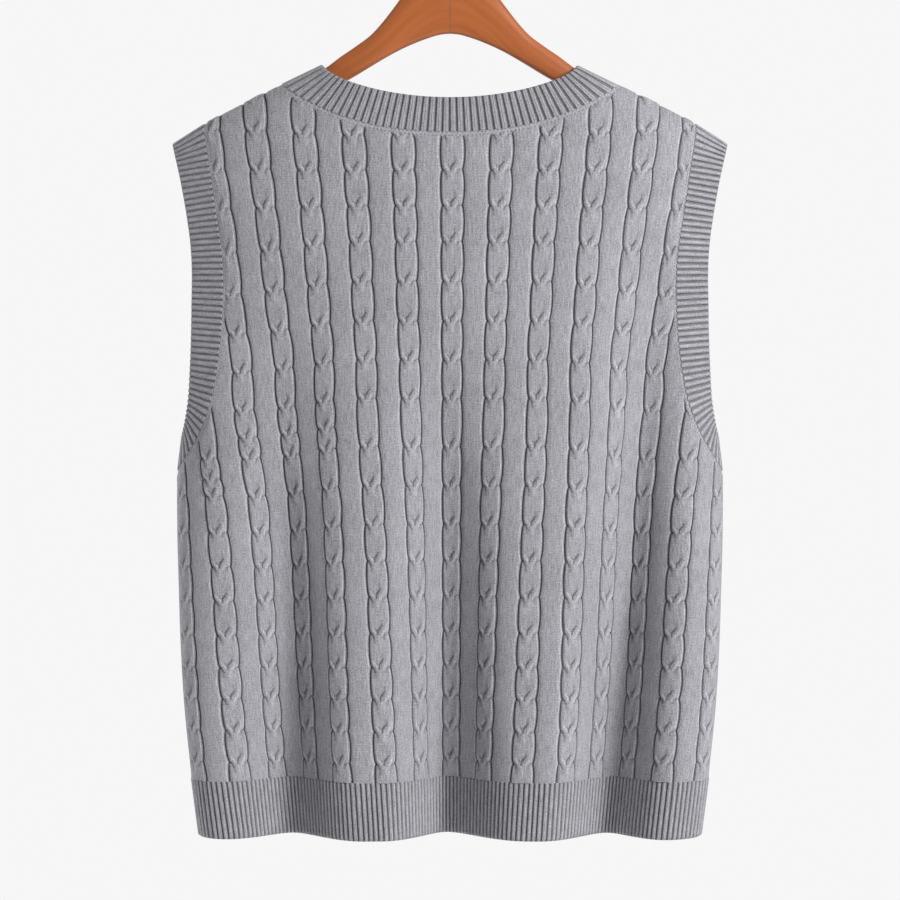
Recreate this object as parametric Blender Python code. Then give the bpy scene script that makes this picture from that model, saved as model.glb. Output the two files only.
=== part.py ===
"""Cable-knit sweater vest hanging on a contoured wooden hanger.

The vest is a tube of knitted cloth: a back sheet towards -Y and a front sheet towards +Y share one
table of sections. A place on the cloth is given by a turn angle round the body, which is 90 degrees
at the side, and by its drop below the top of the neckband. Every piece reads the same sections, so
that neighbours meet edge to edge. Units are metres, +Z is up, and the origin is the inner top of
the hanger's hook, where a rail carries it.
"""

import math
from typing import NamedTuple

import bmesh
import bpy
import numpy as np
from mathutils import Vector
from mathutils.geometry import delaunay_2d_cdt

BACK = -1
FRONT = 1

# The garment as a whole.
NECK_HEIGHT = -0.152
GARMENT_LENGTH = 0.641
HEM_SEAM_DROP = 0.5936
SEAM_GAP = 0.0003
SIDE_EXPONENT = 3.0
FORWARD_HALF_WIDTH = 0.230
SLOPE_STEP = 0.0003

# Shoulder line, which follows the hanger's arms and then droops past their ends.
SHOULDER_SLOPE = 0.481
SHOULDER_BEND_RADIUS = 0.040
SHOULDER_ROUNDING = 0.060
DROOP_START = 0.185
DROOP_RATE = 3.0

# Neckband: half widths where it crosses the shoulder line, and its depths.
NECK_EDGE_HALF_WIDTH = 0.106
NECK_SEAM_HALF_WIDTH = 0.141
BACK_EDGE_DEPTH = 0.030
BACK_EDGE_CURVE = 0.67
BACK_SEAM_DEPTH = 0.043
BACK_SEAM_CURVE = 0.90
BACK_SEAM_POWER = 2.3
V_EDGE_DROP = 0.185
V_SEAM_DROP = 0.241
V_CURVE = 0.92

# Wall of the cloth and its relief.
WALL = 0.0020
CABLE_RISE = 0.0018
CROSSING_RISE = 0.0006
CHANNEL_SINK = 0.0010
RIB_RISE = 0.0005
CABLE_REACH = 7
SIDE_CABLES = 7.5
PATTERN_SHIFT = 0.048
PITCH_BLEND_START = 0.25
PITCH_BLEND_LENGTH = 0.08
CABLE_HALF = 0.245
CROSSING_HALF = 0.195
COLUMN_PITCH = 0.035
COLUMNS = (-0.22, 0.0, 0.22, 0.5)
INNER_ROW_SPACING = 0.058
LATTICE_MARGIN = 0.0045
INNER_MARGIN = 0.0060
SHOULDER_ROWS = (0.0012, 0.0045, 0.0100)
SHOULDER_CLEAR = 0.016

# Rib pitches.
NECK_RIB_PITCH = 0.0057
ARMHOLE_RIB_PITCH = 0.0048
HEM_RIB_PITCH = 0.0038

# Folds deepen from this drop down to the hem.
FOLD_START = 0.200
FOLD_TABLE_DROP = 0.381
FOLD_SOFTNESS = 0.08
VALLEY_ROUNDING = 0.15

# Wooden hanger and its wire hook.
ARM_HALF_LENGTH = 0.2035
ARM_THICKNESS = 0.0115
ARM_HEIGHT = 0.021
ARM_CLEARANCE = 0.0018
ARM_SIDES = 12
ARM_TIP_SHARE = 0.62
JOINT_GAP = 0.0003
HOOK_INNER_RADIUS = 0.019
WIRE_RADIUS = 0.0018
SHANK_SOCKET_RADIUS = 0.0021
SHANK_DEPTH = 0.016


class Section(NamedTuple):
    """Horizontal section of the tube of cloth at one drop below the neck point."""

    drop: float
    half_width: float
    crown: float
    forward: float
    pitch: float


SECTIONS = (
    Section(drop=-0.050, half_width=0.2680, crown=0.0210, forward=0.0280, pitch=0.0422),
    Section(drop=0.000, half_width=0.2610, crown=0.0230, forward=0.0280, pitch=0.0420),
    Section(drop=0.050, half_width=0.2530, crown=0.0260, forward=0.0280, pitch=0.0413),
    Section(drop=0.100, half_width=0.2425, crown=0.0310, forward=0.0270, pitch=0.0397),
    Section(drop=0.140, half_width=0.2365, crown=0.0360, forward=0.0250, pitch=0.0383),
    Section(drop=0.205, half_width=0.2335, crown=0.0440, forward=0.0180, pitch=0.0365),
    Section(drop=0.255, half_width=0.2280, crown=0.0520, forward=0.0090, pitch=0.0352),
    Section(drop=0.285, half_width=0.2240, crown=0.0565, forward=0.0050, pitch=0.0359),
    Section(drop=0.312, half_width=0.2230, crown=0.0600, forward=0.0015, pitch=0.0368),
    Section(drop=0.340, half_width=0.2258, crown=0.0620, forward=-0.0035, pitch=0.0375),
    Section(drop=0.385, half_width=0.2253, crown=0.0620, forward=-0.0140, pitch=0.0375),
    Section(drop=0.435, half_width=0.2230, crown=0.0605, forward=-0.0240, pitch=0.0375),
    Section(drop=0.485, half_width=0.2209, crown=0.0600, forward=-0.0290, pitch=0.0375),
    Section(drop=0.535, half_width=0.2177, crown=0.0605, forward=-0.0315, pitch=0.0375),
    Section(drop=0.575, half_width=0.2137, crown=0.0610, forward=-0.0325, pitch=0.0375),
    Section(drop=0.600, half_width=0.2109, crown=0.0610, forward=-0.0330, pitch=0.0375),
    Section(drop=0.625, half_width=0.2072, crown=0.0612, forward=-0.0333, pitch=0.0375),
    Section(drop=0.650, half_width=0.2048, crown=0.0612, forward=-0.0335, pitch=0.0375),
)


class Fold(NamedTuple):
    """One hanging fold: where its valley runs, how far its flanks reach and its share of the depth."""

    sheet: int
    x_upper: float
    x_hem: float
    left_reach: float
    right_reach: float
    depth_share: float


FOLDS = (
    Fold(sheet=BACK, x_upper=-0.141, x_hem=-0.135, left_reach=0.040, right_reach=0.069, depth_share=0.88),
    Fold(sheet=BACK, x_upper=-0.005, x_hem=-0.004, left_reach=0.053, right_reach=0.066, depth_share=0.78),
    Fold(sheet=BACK, x_upper=0.126, x_hem=0.126, left_reach=0.053, right_reach=0.058, depth_share=0.88),
    Fold(sheet=FRONT, x_upper=-0.128, x_hem=-0.112, left_reach=0.058, right_reach=0.058, depth_share=0.60),
    Fold(sheet=FRONT, x_upper=0.008, x_hem=0.012, left_reach=0.066, right_reach=0.056, depth_share=0.56),
    Fold(sheet=FRONT, x_upper=0.131, x_hem=0.126, left_reach=0.058, right_reach=0.060, depth_share=0.62),
)


class ArmholeRow(NamedTuple):
    """Turn angles, in degrees, of the armhole's free edge and of its seam, shoulder to underarm."""

    travel: float
    edge_turn: float
    seam_turn: float


ARMHOLE = (
    ArmholeRow(travel=0, edge_turn=70.5, seam_turn=55.0),
    ArmholeRow(travel=30, edge_turn=69.6, seam_turn=55.2),
    ArmholeRow(travel=60, edge_turn=68.3, seam_turn=55.0),
    ArmholeRow(travel=90, edge_turn=67.2, seam_turn=53.6),
    ArmholeRow(travel=120, edge_turn=71.0, seam_turn=57.5),
    ArmholeRow(travel=150, edge_turn=79.5, seam_turn=70.5),
    ArmholeRow(travel=180, edge_turn=90.0, seam_turn=90.0),
)
ARMHOLE_EDGE_DROP = 0.312
ARMHOLE_SEAM_DROP = 0.340
ARMHOLE_STEPS = 30
NECK_STEPS = 18
SIDE_STEPS = 14
INNER_STRETCH = 3.0


class CrossingRun(NamedTuple):
    """A run of cable crossings with one spacing, from the neck down."""

    count: int
    spacing: float


FIRST_CROSSING_DROP = 0.061
CROSSING_RUNS = (
    CrossingRun(count=3, spacing=0.0299),
    CrossingRun(count=2, spacing=0.0330),
    CrossingRun(count=2, spacing=0.0317),
    CrossingRun(count=1, spacing=0.0395),
    CrossingRun(count=2, spacing=0.0316),
    CrossingRun(count=3, spacing=0.0296),
    CrossingRun(count=1, spacing=0.0276),
    CrossingRun(count=3, spacing=0.0262),
)


class HangerStation(NamedTuple):
    """Upright section of one hanger arm: its height span above the neck point at a distance out."""

    x: float
    top: float
    bottom: float


HANGER_STATIONS = (
    HangerStation(x=0.0000, top=0.0900, bottom=0.0270),
    HangerStation(x=0.0080, top=0.0895, bottom=0.0262),
    HangerStation(x=0.0160, top=0.0860, bottom=0.0240),
    HangerStation(x=0.0260, top=0.0760, bottom=0.0205),
    HangerStation(x=0.0350, top=0.0655, bottom=0.0168),
    HangerStation(x=0.0480, top=0.0480, bottom=0.0105),
    HangerStation(x=0.0570, top=0.0365, bottom=0.0055),
    HangerStation(x=0.0655, top=0.0272, bottom=0.0005),
    HangerStation(x=0.0790, top=0.0170, bottom=-0.0075),
    HangerStation(x=0.0925, top=0.0080, bottom=-0.0150),
)


def smooth(knots, values, places):
    """Read a smooth curve through the knots, as a cubic with matched slopes."""
    knots, values = np.asarray(knots, float), np.asarray(values, float)
    steps = np.diff(knots)
    rates = np.diff(values) / steps
    slopes = np.empty(len(knots))
    slopes[0], slopes[-1] = rates[0], rates[-1]
    slopes[1:-1] = (rates[:-1] * steps[1:] + rates[1:] * steps[:-1]) / (steps[:-1] + steps[1:])
    places = np.clip(np.asarray(places, float), knots[0], knots[-1])
    spot = np.clip(np.searchsorted(knots, places, side="right") - 1, 0, len(knots) - 2)
    width = steps[spot]
    t = (places - knots[spot]) / width
    rise = (1 + 2 * t) * (1 - t) ** 2 * values[spot] + t**2 * (3 - 2 * t) * values[spot + 1]
    return rise + width * (t * (1 - t) ** 2 * slopes[spot] - t**2 * (1 - t) * slopes[spot + 1])


def section_value(name, drop):
    """One column of the section table, read at any drop."""
    return smooth([row.drop for row in SECTIONS], [getattr(row, name) for row in SECTIONS], drop)


def shoulder_drop(x):
    """Drop of the shoulder line at a distance out from the middle."""
    out = np.abs(x)
    bend = np.hypot(out, SHOULDER_BEND_RADIUS) - math.hypot(NECK_EDGE_HALF_WIDTH, SHOULDER_BEND_RADIUS)
    return SHOULDER_SLOPE * bend + DROOP_RATE * np.maximum(out - DROOP_START, 0.0) ** 2


def fold_share(sheet, x, drop):
    """Share of the tube's depth that the folds take away."""
    ramp = np.clip((drop - FOLD_START) / (GARMENT_LENGTH - FOLD_START), 0.0, 1.0)
    growth = ramp**2 / (ramp + FOLD_SOFTNESS) * (1 + FOLD_SOFTNESS)
    lift = (GARMENT_LENGTH - drop) / (GARMENT_LENGTH - FOLD_TABLE_DROP)
    full = math.hypot(1.0, VALLEY_ROUNDING) - VALLEY_ROUNDING
    share = np.zeros(np.broadcast(x, drop).shape)
    for fold in (row for row in FOLDS if row.sheet == sheet):
        away = x - (fold.x_hem + (fold.x_upper - fold.x_hem) * lift)
        reach = np.where(away < 0, fold.left_reach, fold.right_reach)
        flank = (np.hypot(away / reach, VALLEY_ROUNDING) - VALLEY_ROUNDING) / full
        share = share + fold.depth_share * growth * (1 - np.sin(0.5 * math.pi * np.minimum(flank, 1.0)))
    return share


def depth_squared(sheet, x, drop, at_shoulder=True):
    """Square of the cloth's depth from the mid surface. It runs to zero at the sides and shoulders."""
    side = 1 - np.abs(x / section_value("half_width", drop)) ** SIDE_EXPONENT
    depth = section_value("crown", drop) * (1 - fold_share(sheet, x, drop))
    if not at_shoulder:
        return depth**2 * side
    below = np.minimum((drop - shoulder_drop(x)) / SHOULDER_ROUNDING, 1.0)
    return depth**2 * side * (1 - (1 - below) ** 2)


def mid_surface(x, drop):
    """How far the mid surface sweeps forward, as the contoured hanger does."""
    return section_value("forward", drop) * (x / FORWARD_HALF_WIDTH) ** 2


def cloth(sheet, turn, drop, gap=SEAM_GAP / 2):
    """Points on the inside of the cloth and the outward normals there."""
    turn, drop = np.broadcast_arrays(np.asarray(turn, float), np.asarray(drop, float))
    x = section_value("half_width", drop) * np.sin(turn)
    square = np.maximum(depth_squared(sheet, x, drop), 0.0)
    depth = np.sqrt(square)
    step = SLOPE_STEP
    along_x = (depth_squared(sheet, x + step, drop) - depth_squared(sheet, x - step, drop)) / (2 * step)
    along_z = (depth_squared(sheet, x, drop + step) - depth_squared(sheet, x, drop - step)) / (2 * step)
    mid_x = (mid_surface(x + step, drop) - mid_surface(x - step, drop)) / (2 * step)
    mid_z = (mid_surface(x, drop + step) - mid_surface(x, drop - step)) / (2 * step)
    normals = np.stack(
        [-along_x - 2 * sheet * depth * mid_x, 2 * sheet * depth, along_z + 2 * sheet * depth * mid_z],
        axis=-1,
    )
    normals /= np.linalg.norm(normals, axis=-1, keepdims=True)
    y = mid_surface(x, drop) + sheet * (depth + gap)
    return np.stack([x, y, NECK_HEIGHT - drop], axis=-1), normals


class CableMap:
    """Cable pitches from the middle to each place on a sheet, measured along the curved cloth."""

    def __init__(self, sheet):
        self.drops = np.arange(-0.04, GARMENT_LENGTH + 0.012, 0.004)
        self.turns = np.linspace(-math.pi / 2, math.pi / 2, 361)
        self.rows = np.array([self.row(sheet, drop) for drop in self.drops])

    def row(self, sheet, drop):
        """Cable pitches at each turn of one section."""
        x = section_value("half_width", drop) * np.sin(self.turns)
        depth = np.sqrt(np.maximum(depth_squared(sheet, x, drop, at_shoulder=False), 0.0))
        y = mid_surface(x, drop) + sheet * depth
        length = np.concatenate([[0.0], np.cumsum(np.hypot(np.diff(x), np.diff(y)))])
        length -= np.interp(0.0, x, length)
        blend = np.clip((drop - PITCH_BLEND_START) / PITCH_BLEND_LENGTH, 0.0, 1.0)
        blend = blend**2 * (3 - 2 * blend)
        table_pitch = float(section_value("pitch", drop))
        ends = np.where(length < 0, -length[0], length[-1]) / SIDE_CABLES
        cables = length / (table_pitch + (ends - table_pitch) * blend)
        return cables - PATTERN_SHIFT * (1 - (cables / SIDE_CABLES) ** 2)

    def spread(self, drop):
        """The two rows nearest a drop, and the share of the second."""
        place = (drop - self.drops[0]) / (self.drops[1] - self.drops[0])
        low = int(np.clip(math.floor(place), 0, len(self.drops) - 2))
        return low, place - low

    def cables_at(self, turn, drop):
        """Cable pitches from the middle at one turn and drop."""
        low, share = self.spread(drop)
        pair = [np.interp(turn, self.turns, self.rows[k]) for k in (low, low + 1)]
        return pair[0] + (pair[1] - pair[0]) * share

    def turn_at(self, cables, drop):
        """Turn angle of a place that is some cable pitches from the middle."""
        low, share = self.spread(drop)
        pair = [np.interp(cables, self.rows[k], self.turns) for k in (low, low + 1)]
        return pair[0] + (pair[1] - pair[0]) * share


def crossing_drops():
    """Drops of all cable crossings, neck to hem."""
    drops = [FIRST_CROSSING_DROP]
    for run in CROSSING_RUNS:
        for _ in range(run.count):
            drops.append(drops[-1] + run.spacing)
    return [drop for drop in drops if drop < HEM_SEAM_DROP - 0.006]


def neck_seam(sheet, x):
    """Drop of the seam between a panel and the neckband."""
    share = np.minimum(np.abs(x) / NECK_SEAM_HALF_WIDTH, 1.0)
    top = shoulder_drop(NECK_SEAM_HALF_WIDTH)
    if sheet == BACK:
        return top + BACK_SEAM_DEPTH * (1 - share**BACK_SEAM_POWER) ** BACK_SEAM_CURVE
    return top + (V_SEAM_DROP - top) * (1 - share) ** V_CURVE


def neck_edge(sheet, x):
    """Drop of the neckband's free edge."""
    share = np.minimum(np.abs(x) / NECK_EDGE_HALF_WIDTH, 1.0)
    top = shoulder_drop(NECK_EDGE_HALF_WIDTH)
    if sheet == BACK:
        return top + BACK_EDGE_DEPTH * (1 - share**2) ** BACK_EDGE_CURVE
    return top + (V_EDGE_DROP - top) * (1 - share) ** V_CURVE


def on_shoulder(turn):
    """Drop at which a turn angle meets the shoulder line."""
    drop = 0.05
    for _ in range(40):
        drop = float(shoulder_drop(section_value("half_width", drop) * math.sin(turn)))
    return drop


def armhole_line(column, end_drop):
    """Turn angles and drops along one armhole line, shoulder to underarm."""
    travel = np.linspace(0.0, 180.0, ARMHOLE_STEPS + 1)
    rows = [row.travel for row in ARMHOLE]
    turns = np.radians(smooth(rows, [getattr(row, column) for row in ARMHOLE], travel))
    start = on_shoulder(turns[0])
    drops = start + (end_drop - start) * (1 - np.cos(np.radians(travel))) / 2
    return turns, drops


def turn_of(x, drop):
    """Turn angle of a place given by its distance from the middle."""
    return np.arcsin(np.clip(x / section_value("half_width", drop), -1.0, 1.0))


def cable_columns():
    """Cable positions of the wall's columns, left to right, short of the sides."""
    cables = range(-CABLE_REACH - 1, CABLE_REACH + 1)
    columns = [cable + column for cable in cables for column in COLUMNS]
    return [column for column in columns if abs(column) < SIDE_CABLES - 0.01]


def shoulder_ends(cable_map):
    """Distances out at which the wall's columns end at the shoulder line."""
    arm_turn = math.radians(ARMHOLE[0].seam_turn)
    arm_x = float(section_value("half_width", on_shoulder(arm_turn)) * math.sin(arm_turn))
    found = []
    for column in (column for column in cable_columns() if column > 0):
        x = COLUMN_PITCH * column
        for _ in range(30):
            drop = float(shoulder_drop(x))
            x = float(section_value("half_width", drop) * math.sin(cable_map.turn_at(column, drop)))
        if NECK_SEAM_HALF_WIDTH + LATTICE_MARGIN < x < arm_x - LATTICE_MARGIN:
            found.append(x)
    return np.array(found)


def panel_outline(sheet, side_drops, hem_turns, shoulder_x):
    """Turn angles and drops round one panel: neck, shoulder, armhole, side and hem."""
    neck_x = NECK_SEAM_HALF_WIDTH * np.sin(np.radians(np.linspace(0.0, 90.0, NECK_STEPS + 1)))
    arm_turns, arm_drops = armhole_line("seam_turn", ARMHOLE_SEAM_DROP)
    neck_v, shoulder_v = neck_seam(sheet, neck_x), shoulder_drop(shoulder_x)
    side_turns = np.full(len(side_drops), math.pi / 2)
    upper_turns = [turn_of(neck_x, neck_v), turn_of(shoulder_x, shoulder_v)]
    half_turns = np.concatenate([*upper_turns, arm_turns, side_turns])
    half_drops = np.concatenate([neck_v, shoulder_v, arm_drops, side_drops])
    turns = np.concatenate([half_turns, hem_turns[::-1], -half_turns[:0:-1]])
    drops = np.concatenate([half_drops, np.full(len(hem_turns), HEM_SEAM_DROP), half_drops[:0:-1]])
    return turns, drops


def relief(cables, drop, crossings):
    """Height of the outer wall over the inner one at a lattice point of the cable pattern."""
    beside = abs(cables - round(cables))
    crossing = min(abs(drop - row) for row in crossings) < 0.002
    if abs(beside - 0.5) < 0.02:
        return WALL
    if beside > 0.05:
        return WALL - CHANNEL_SINK
    return WALL + (CROSSING_RISE if crossing else CABLE_RISE)


def outer_lattice(crossings):
    """Cable positions and drops of the outer wall's points: four columns for each cable pitch."""
    first_gap, last_gap = crossings[1] - crossings[0], crossings[-1] - crossings[-2]
    rows = [crossings[0] - first_gap * n for n in (1, 2)][::-1] + list(crossings) + [crossings[-1] + last_gap]
    middles = [(upper + lower) / 2 for upper, lower in zip(rows, rows[1:])]
    points = []
    for cable in range(-CABLE_REACH, CABLE_REACH + 1):
        for drop in rows:
            points += [(cable - CROSSING_HALF, drop), (cable, drop), (cable + CROSSING_HALF, drop)]
            points += [(cable + 0.5, drop)] if cable < CABLE_REACH else []
        for drop in middles:
            points += [(cable - CABLE_HALF, drop), (cable, drop), (cable + CABLE_HALF, drop)]
    return points


def shoulder_lattice(cable_map, shoulder_x):
    """Points just below the shoulder line, where the cloth rounds over the hanger."""
    points = []
    for x in shoulder_x:
        for below in SHOULDER_ROWS:
            drop = float(shoulder_drop(x)) + below
            turn = float(turn_of(x, drop))
            points += [(float(cable_map.cables_at(side * turn, drop)), drop) for side in (1, -1)]
    return points


def inner_lattice():
    """Points of the plain inner wall: as many columns as the outer one, with far fewer rows."""
    rows = np.arange(INNER_ROW_SPACING, HEM_SEAM_DROP, INNER_ROW_SPACING)
    return [(column, float(drop)) for drop in rows for column in cable_columns()]


def below_shoulder(cables, drop):
    """Whether a regular lattice point is clear of the rows that follow the shoulder line."""
    x = abs(cables) * COLUMN_PITCH
    return x < NECK_SEAM_HALF_WIDTH or drop - shoulder_drop(x) > SHOULDER_CLEAR


def inside(points, outline, margin):
    """The points that lie inside an outline by more than a margin."""
    points = np.asarray(points)
    start, end = outline, np.roll(outline, -1, axis=0)
    span = end - start
    offset = points[:, None, :] - start[None]
    share = np.clip((offset * span).sum(-1) / np.maximum((span**2).sum(-1), 1e-12), 0, 1)
    away = np.linalg.norm(offset - share[..., None] * span, axis=-1).min(axis=1)
    crosses = (start[:, 1] > points[:, 1:]) != (end[:, 1] > points[:, 1:])
    fall = np.where(span[:, 1] == 0, 1e-12, span[:, 1])
    at_x = start[:, 0] + span[:, 0] * (points[:, 1:] - start[:, 1]) / fall
    odd = (crosses & (points[:, :1] < at_x)).sum(axis=1) % 2 == 1
    return odd & (away > margin)


def triangulate(flat, border_count):
    """Triangles over flat points whose first ones form the border."""
    border = [(k, (k + 1) % border_count) for k in range(border_count)]
    vectors = [Vector((float(x), float(y))) for x, y in flat]
    found, _, faces, origins, _, _ = delaunay_2d_cdt(vectors, border, [], 1, 1e-7)
    if len(found) != len(vectors):
        raise ValueError("the cloth's points are too close together")
    return [[origins[corner][0] for corner in face] for face in faces]


def add_object(name, points, faces, material, shade_smooth=True):
    """Link a closed mesh object with its normals facing out."""
    mesh = bpy.data.meshes.new(name)
    mesh.from_pydata([tuple(point) for point in points], [], faces)
    shape = bmesh.new()
    shape.from_mesh(mesh)
    bmesh.ops.triangulate(shape, faces=shape.faces)
    bmesh.ops.recalc_face_normals(shape, faces=shape.faces)
    shape.to_mesh(mesh)
    shape.free()
    if shade_smooth:
        mesh.shade_smooth()
    mesh.materials.append(material)
    made = bpy.data.objects.new(name, mesh)
    bpy.context.scene.collection.objects.link(made)
    return made


def wall(sheet, cable_map, border, spots, heights, stretch):
    """One wall of a panel: its points, and triangles over its border and the spots inside it."""
    turns, drops, outline = border
    spot_turns = [cable_map.turn_at(cables, drop) for cables, drop in spots]
    spot_drops = [drop for _, drop in spots]
    places, normals = cloth(sheet, np.concatenate([turns, spot_turns]), np.concatenate([drops, spot_drops]))
    places = places + normals * np.asarray(heights)[:, None]
    flat = np.concatenate([outline, np.array(spots) * (COLUMN_PITCH, 1.0)])
    return places, triangulate(flat * (stretch, 1.0), len(outline))


def panel(name, sheet, crossings, material):
    """A knitted panel: a plain inner wall, an outer wall with raised cables, and its cut edges."""
    cable_map = CableMap(sheet)
    side_drops = np.linspace(ARMHOLE_SEAM_DROP, HEM_SEAM_DROP, SIDE_STEPS + 1)[1:]
    hem_turns = np.array([cable_map.turn_at(cables, HEM_SEAM_DROP) for cables in cable_columns()])
    shoulder_x = shoulder_ends(cable_map)
    turns, drops = panel_outline(sheet, side_drops, hem_turns, shoulder_x)
    cables = np.array([cable_map.cables_at(turn, drop) for turn, drop in zip(turns, drops)])
    outline = np.stack([cables * COLUMN_PITCH, drops], axis=-1)
    border = (turns, drops, outline)
    near_shoulder = shoulder_lattice(cable_map, shoulder_x)

    def kept(lattice, margin):
        """The lattice points inside the outline, then the rows along the shoulders."""
        clear = inside(np.array(lattice) * (COLUMN_PITCH, 1.0), outline, margin)
        regular = [spot for spot, ok in zip(lattice, clear) if ok and below_shoulder(*spot)]
        return regular, regular + near_shoulder

    regular, spots = kept(outer_lattice(crossings), LATTICE_MARGIN)
    heights = [WALL] * len(outline) + [relief(*spot, crossings) for spot in regular]
    heights += [WALL] * len(near_shoulder)
    outer_places, outer_faces = wall(sheet, cable_map, border, spots, heights, 1.0)
    _, spots = kept(inner_lattice(), INNER_MARGIN)
    heights = [0.0] * (len(outline) + len(spots))
    inner_places, inner_faces = wall(sheet, cable_map, border, spots, heights, INNER_STRETCH)
    shift = len(outer_places)
    faces = outer_faces + [[corner + shift for corner in face[::-1]] for face in inner_faces]
    for k in range(len(outline)):
        follow = (k + 1) % len(outline)
        faces.append([k, k + shift, follow + shift, follow])
    return add_object(name, np.concatenate([outer_places, inner_places]), faces, material)


def stitched_strip(first, first_places, second, second_places):
    """Triangles between two rows of vertex numbers whose places run along the same length."""
    faces, a, b = [], 0, 0
    while a < len(first) - 1 or b < len(second) - 1:
        take_first = b == len(second) - 1 or (
            a < len(first) - 1 and first_places[a + 1] <= second_places[b + 1]
        )
        if take_first:
            faces.append([first[a], first[a + 1], second[b]])
            a += 1
        else:
            faces.append([first[a], second[b + 1], second[b]])
            b += 1
    return faces


def ribbed_band(name, seam, edge, rib_pitch, closed, material):
    """A ribbed strip between a seam line and a free edge, plain inside and ribbed outside.

    seam and edge are pairs of points and outward normals at the same stations.
    """
    lines = [np.concatenate([line, line[:1]]) if closed else line for line in (*seam, *edge)]
    seam_points, seam_normals, edge_points, edge_normals = lines
    toward = edge_points - seam_points
    seam_points = seam_points + toward / np.linalg.norm(toward, axis=1, keepdims=True) * SEAM_GAP
    middle = (seam_points + edge_points) / 2
    length = np.concatenate([[0.0], np.cumsum(np.linalg.norm(np.diff(middle, axis=0), axis=1))])
    ribs = round(length[-1] / rib_pitch)
    stations = np.linspace(0.0, length[-1], 2 * ribs + 1)
    heights = WALL + RIB_RISE * np.where(np.arange(2 * ribs + 1) % 2 == 1, 1.0, -1.0)

    def outer_line(points, normals):
        """Ribbed points over one line of the band, on straight runs between its stations."""
        places = [np.interp(stations, length, points[:, axis]) for axis in range(3)]
        outward = [np.interp(stations, length, normals[:, axis]) for axis in range(3)]
        return np.stack(places, axis=-1) + np.stack(outward, axis=-1) * heights[:, None]

    outer_count, inner_count = len(stations), len(length)
    if closed:
        outer_count, inner_count = outer_count - 1, inner_count - 1
    points = np.concatenate(
        [
            outer_line(seam_points, seam_normals)[:outer_count],
            outer_line(edge_points, edge_normals)[:outer_count],
            seam_points[:inner_count],
            edge_points[:inner_count],
        ]
    )
    outer_seam = [k % outer_count for k in range(len(stations))]
    outer_edge = [k + outer_count for k in outer_seam]
    inner_seam = [2 * outer_count + k % inner_count for k in range(len(length))]
    inner_edge = [k + inner_count for k in inner_seam]
    faces = []
    for row, other in ((outer_seam, outer_edge), (inner_edge, inner_seam)):
        faces += [[row[k], row[k + 1], other[k + 1], other[k]] for k in range(len(row) - 1)]
    faces += stitched_strip(outer_edge, stations, inner_edge, length)
    faces += stitched_strip(inner_seam, length, outer_seam, stations)
    if not closed:
        for k in (0, -1):
            faces.append([outer_seam[k], outer_edge[k], inner_edge[k], inner_seam[k]])
    return add_object(name, points, faces, material)


def ring_lines(lines):
    """Join lines of points and normals of both sheets into one ring."""
    points = np.concatenate([part[0] for part in lines])
    normals = np.concatenate([part[1] for part in lines])
    return points, normals


def neck_lines(line, half_width):
    """One line round the neck: back from left to right, then front from right to left."""
    parts = []
    back_angles, front_angles = np.linspace(-90.0, 90.0, 37)[1:-1], np.linspace(90.0, -90.0, 49)[1:-1]
    for sheet, angles in ((BACK, back_angles), (FRONT, front_angles)):
        for at_shoulder in (True, False):
            spread = [math.copysign(90.0, angles[0])] if at_shoulder else angles
            x = half_width * np.sin(np.radians(spread))
            drop = line(sheet, x)
            parts.append(cloth(sheet, turn_of(x, drop), drop, gap=0.0))
    return ring_lines(parts)


def armhole_lines(side, column, end_drop):
    """One line round an armhole: down the back, then up the front. side is -1 or 1 along X."""
    turns, drops = armhole_line(column, end_drop)
    back = cloth(BACK, side * turns, drops, gap=0.0)
    front = cloth(FRONT, side * turns[-2:0:-1], drops[-2:0:-1], gap=0.0)
    return ring_lines([back, front])


def hem_rib(name, sheet, material):
    """The ribbed hem below one panel."""
    cable_map = CableMap(sheet)
    cables = np.arange(-SIDE_CABLES, SIDE_CABLES + 0.01, 0.25)
    lines = []
    for drop in (HEM_SEAM_DROP, GARMENT_LENGTH):
        turns = [cable_map.turn_at(place, drop) for place in cables]
        lines.append(cloth(sheet, turns, drop))
    return ribbed_band(name, lines[0], lines[1], HEM_RIB_PITCH, False, material)


def hanger_arm(name, side, material):
    """One half of the wooden hanger: rounded upright sections swept out along the arm."""
    stations = [(row.x, row.top, row.bottom) for row in HANGER_STATIONS]
    for x in (0.106, 0.130, 0.155, 0.180, ARM_HALF_LENGTH - 0.004, ARM_HALF_LENGTH):
        top = -float(shoulder_drop(x)) - ARM_CLEARANCE
        stations.append((x, top, top - ARM_HEIGHT))
    rings = []
    for number, (x, top, bottom) in enumerate(stations):
        out = max(x, JOINT_GAP / 2)
        shrink = ARM_TIP_SHARE if number == len(stations) - 1 else 1.0
        centre = (top + bottom) / 2
        y_middle = float(mid_surface(out, 0.0))
        for turn in np.linspace(0.0, 2 * math.pi, ARM_SIDES, endpoint=False):
            y = y_middle + ARM_THICKNESS / 2 * shrink * math.cos(turn)
            z = centre + (top - bottom) / 2 * shrink * math.sin(turn)
            rings.append((side * out, y, NECK_HEIGHT + z))
    faces = [list(range(ARM_SIDES)), [len(rings) - ARM_SIDES + k for k in range(ARM_SIDES)][::-1]]
    for ring in range(len(stations) - 1):
        for k in range(ARM_SIDES):
            here, follow = ring * ARM_SIDES + k, ring * ARM_SIDES + (k + 1) % ARM_SIDES
            faces.append([here, follow, follow + ARM_SIDES, here + ARM_SIDES])
    made = add_object(name, rings, faces, material)
    made.data.set_sharp_from_angle(angle=math.radians(50))
    return made


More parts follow.
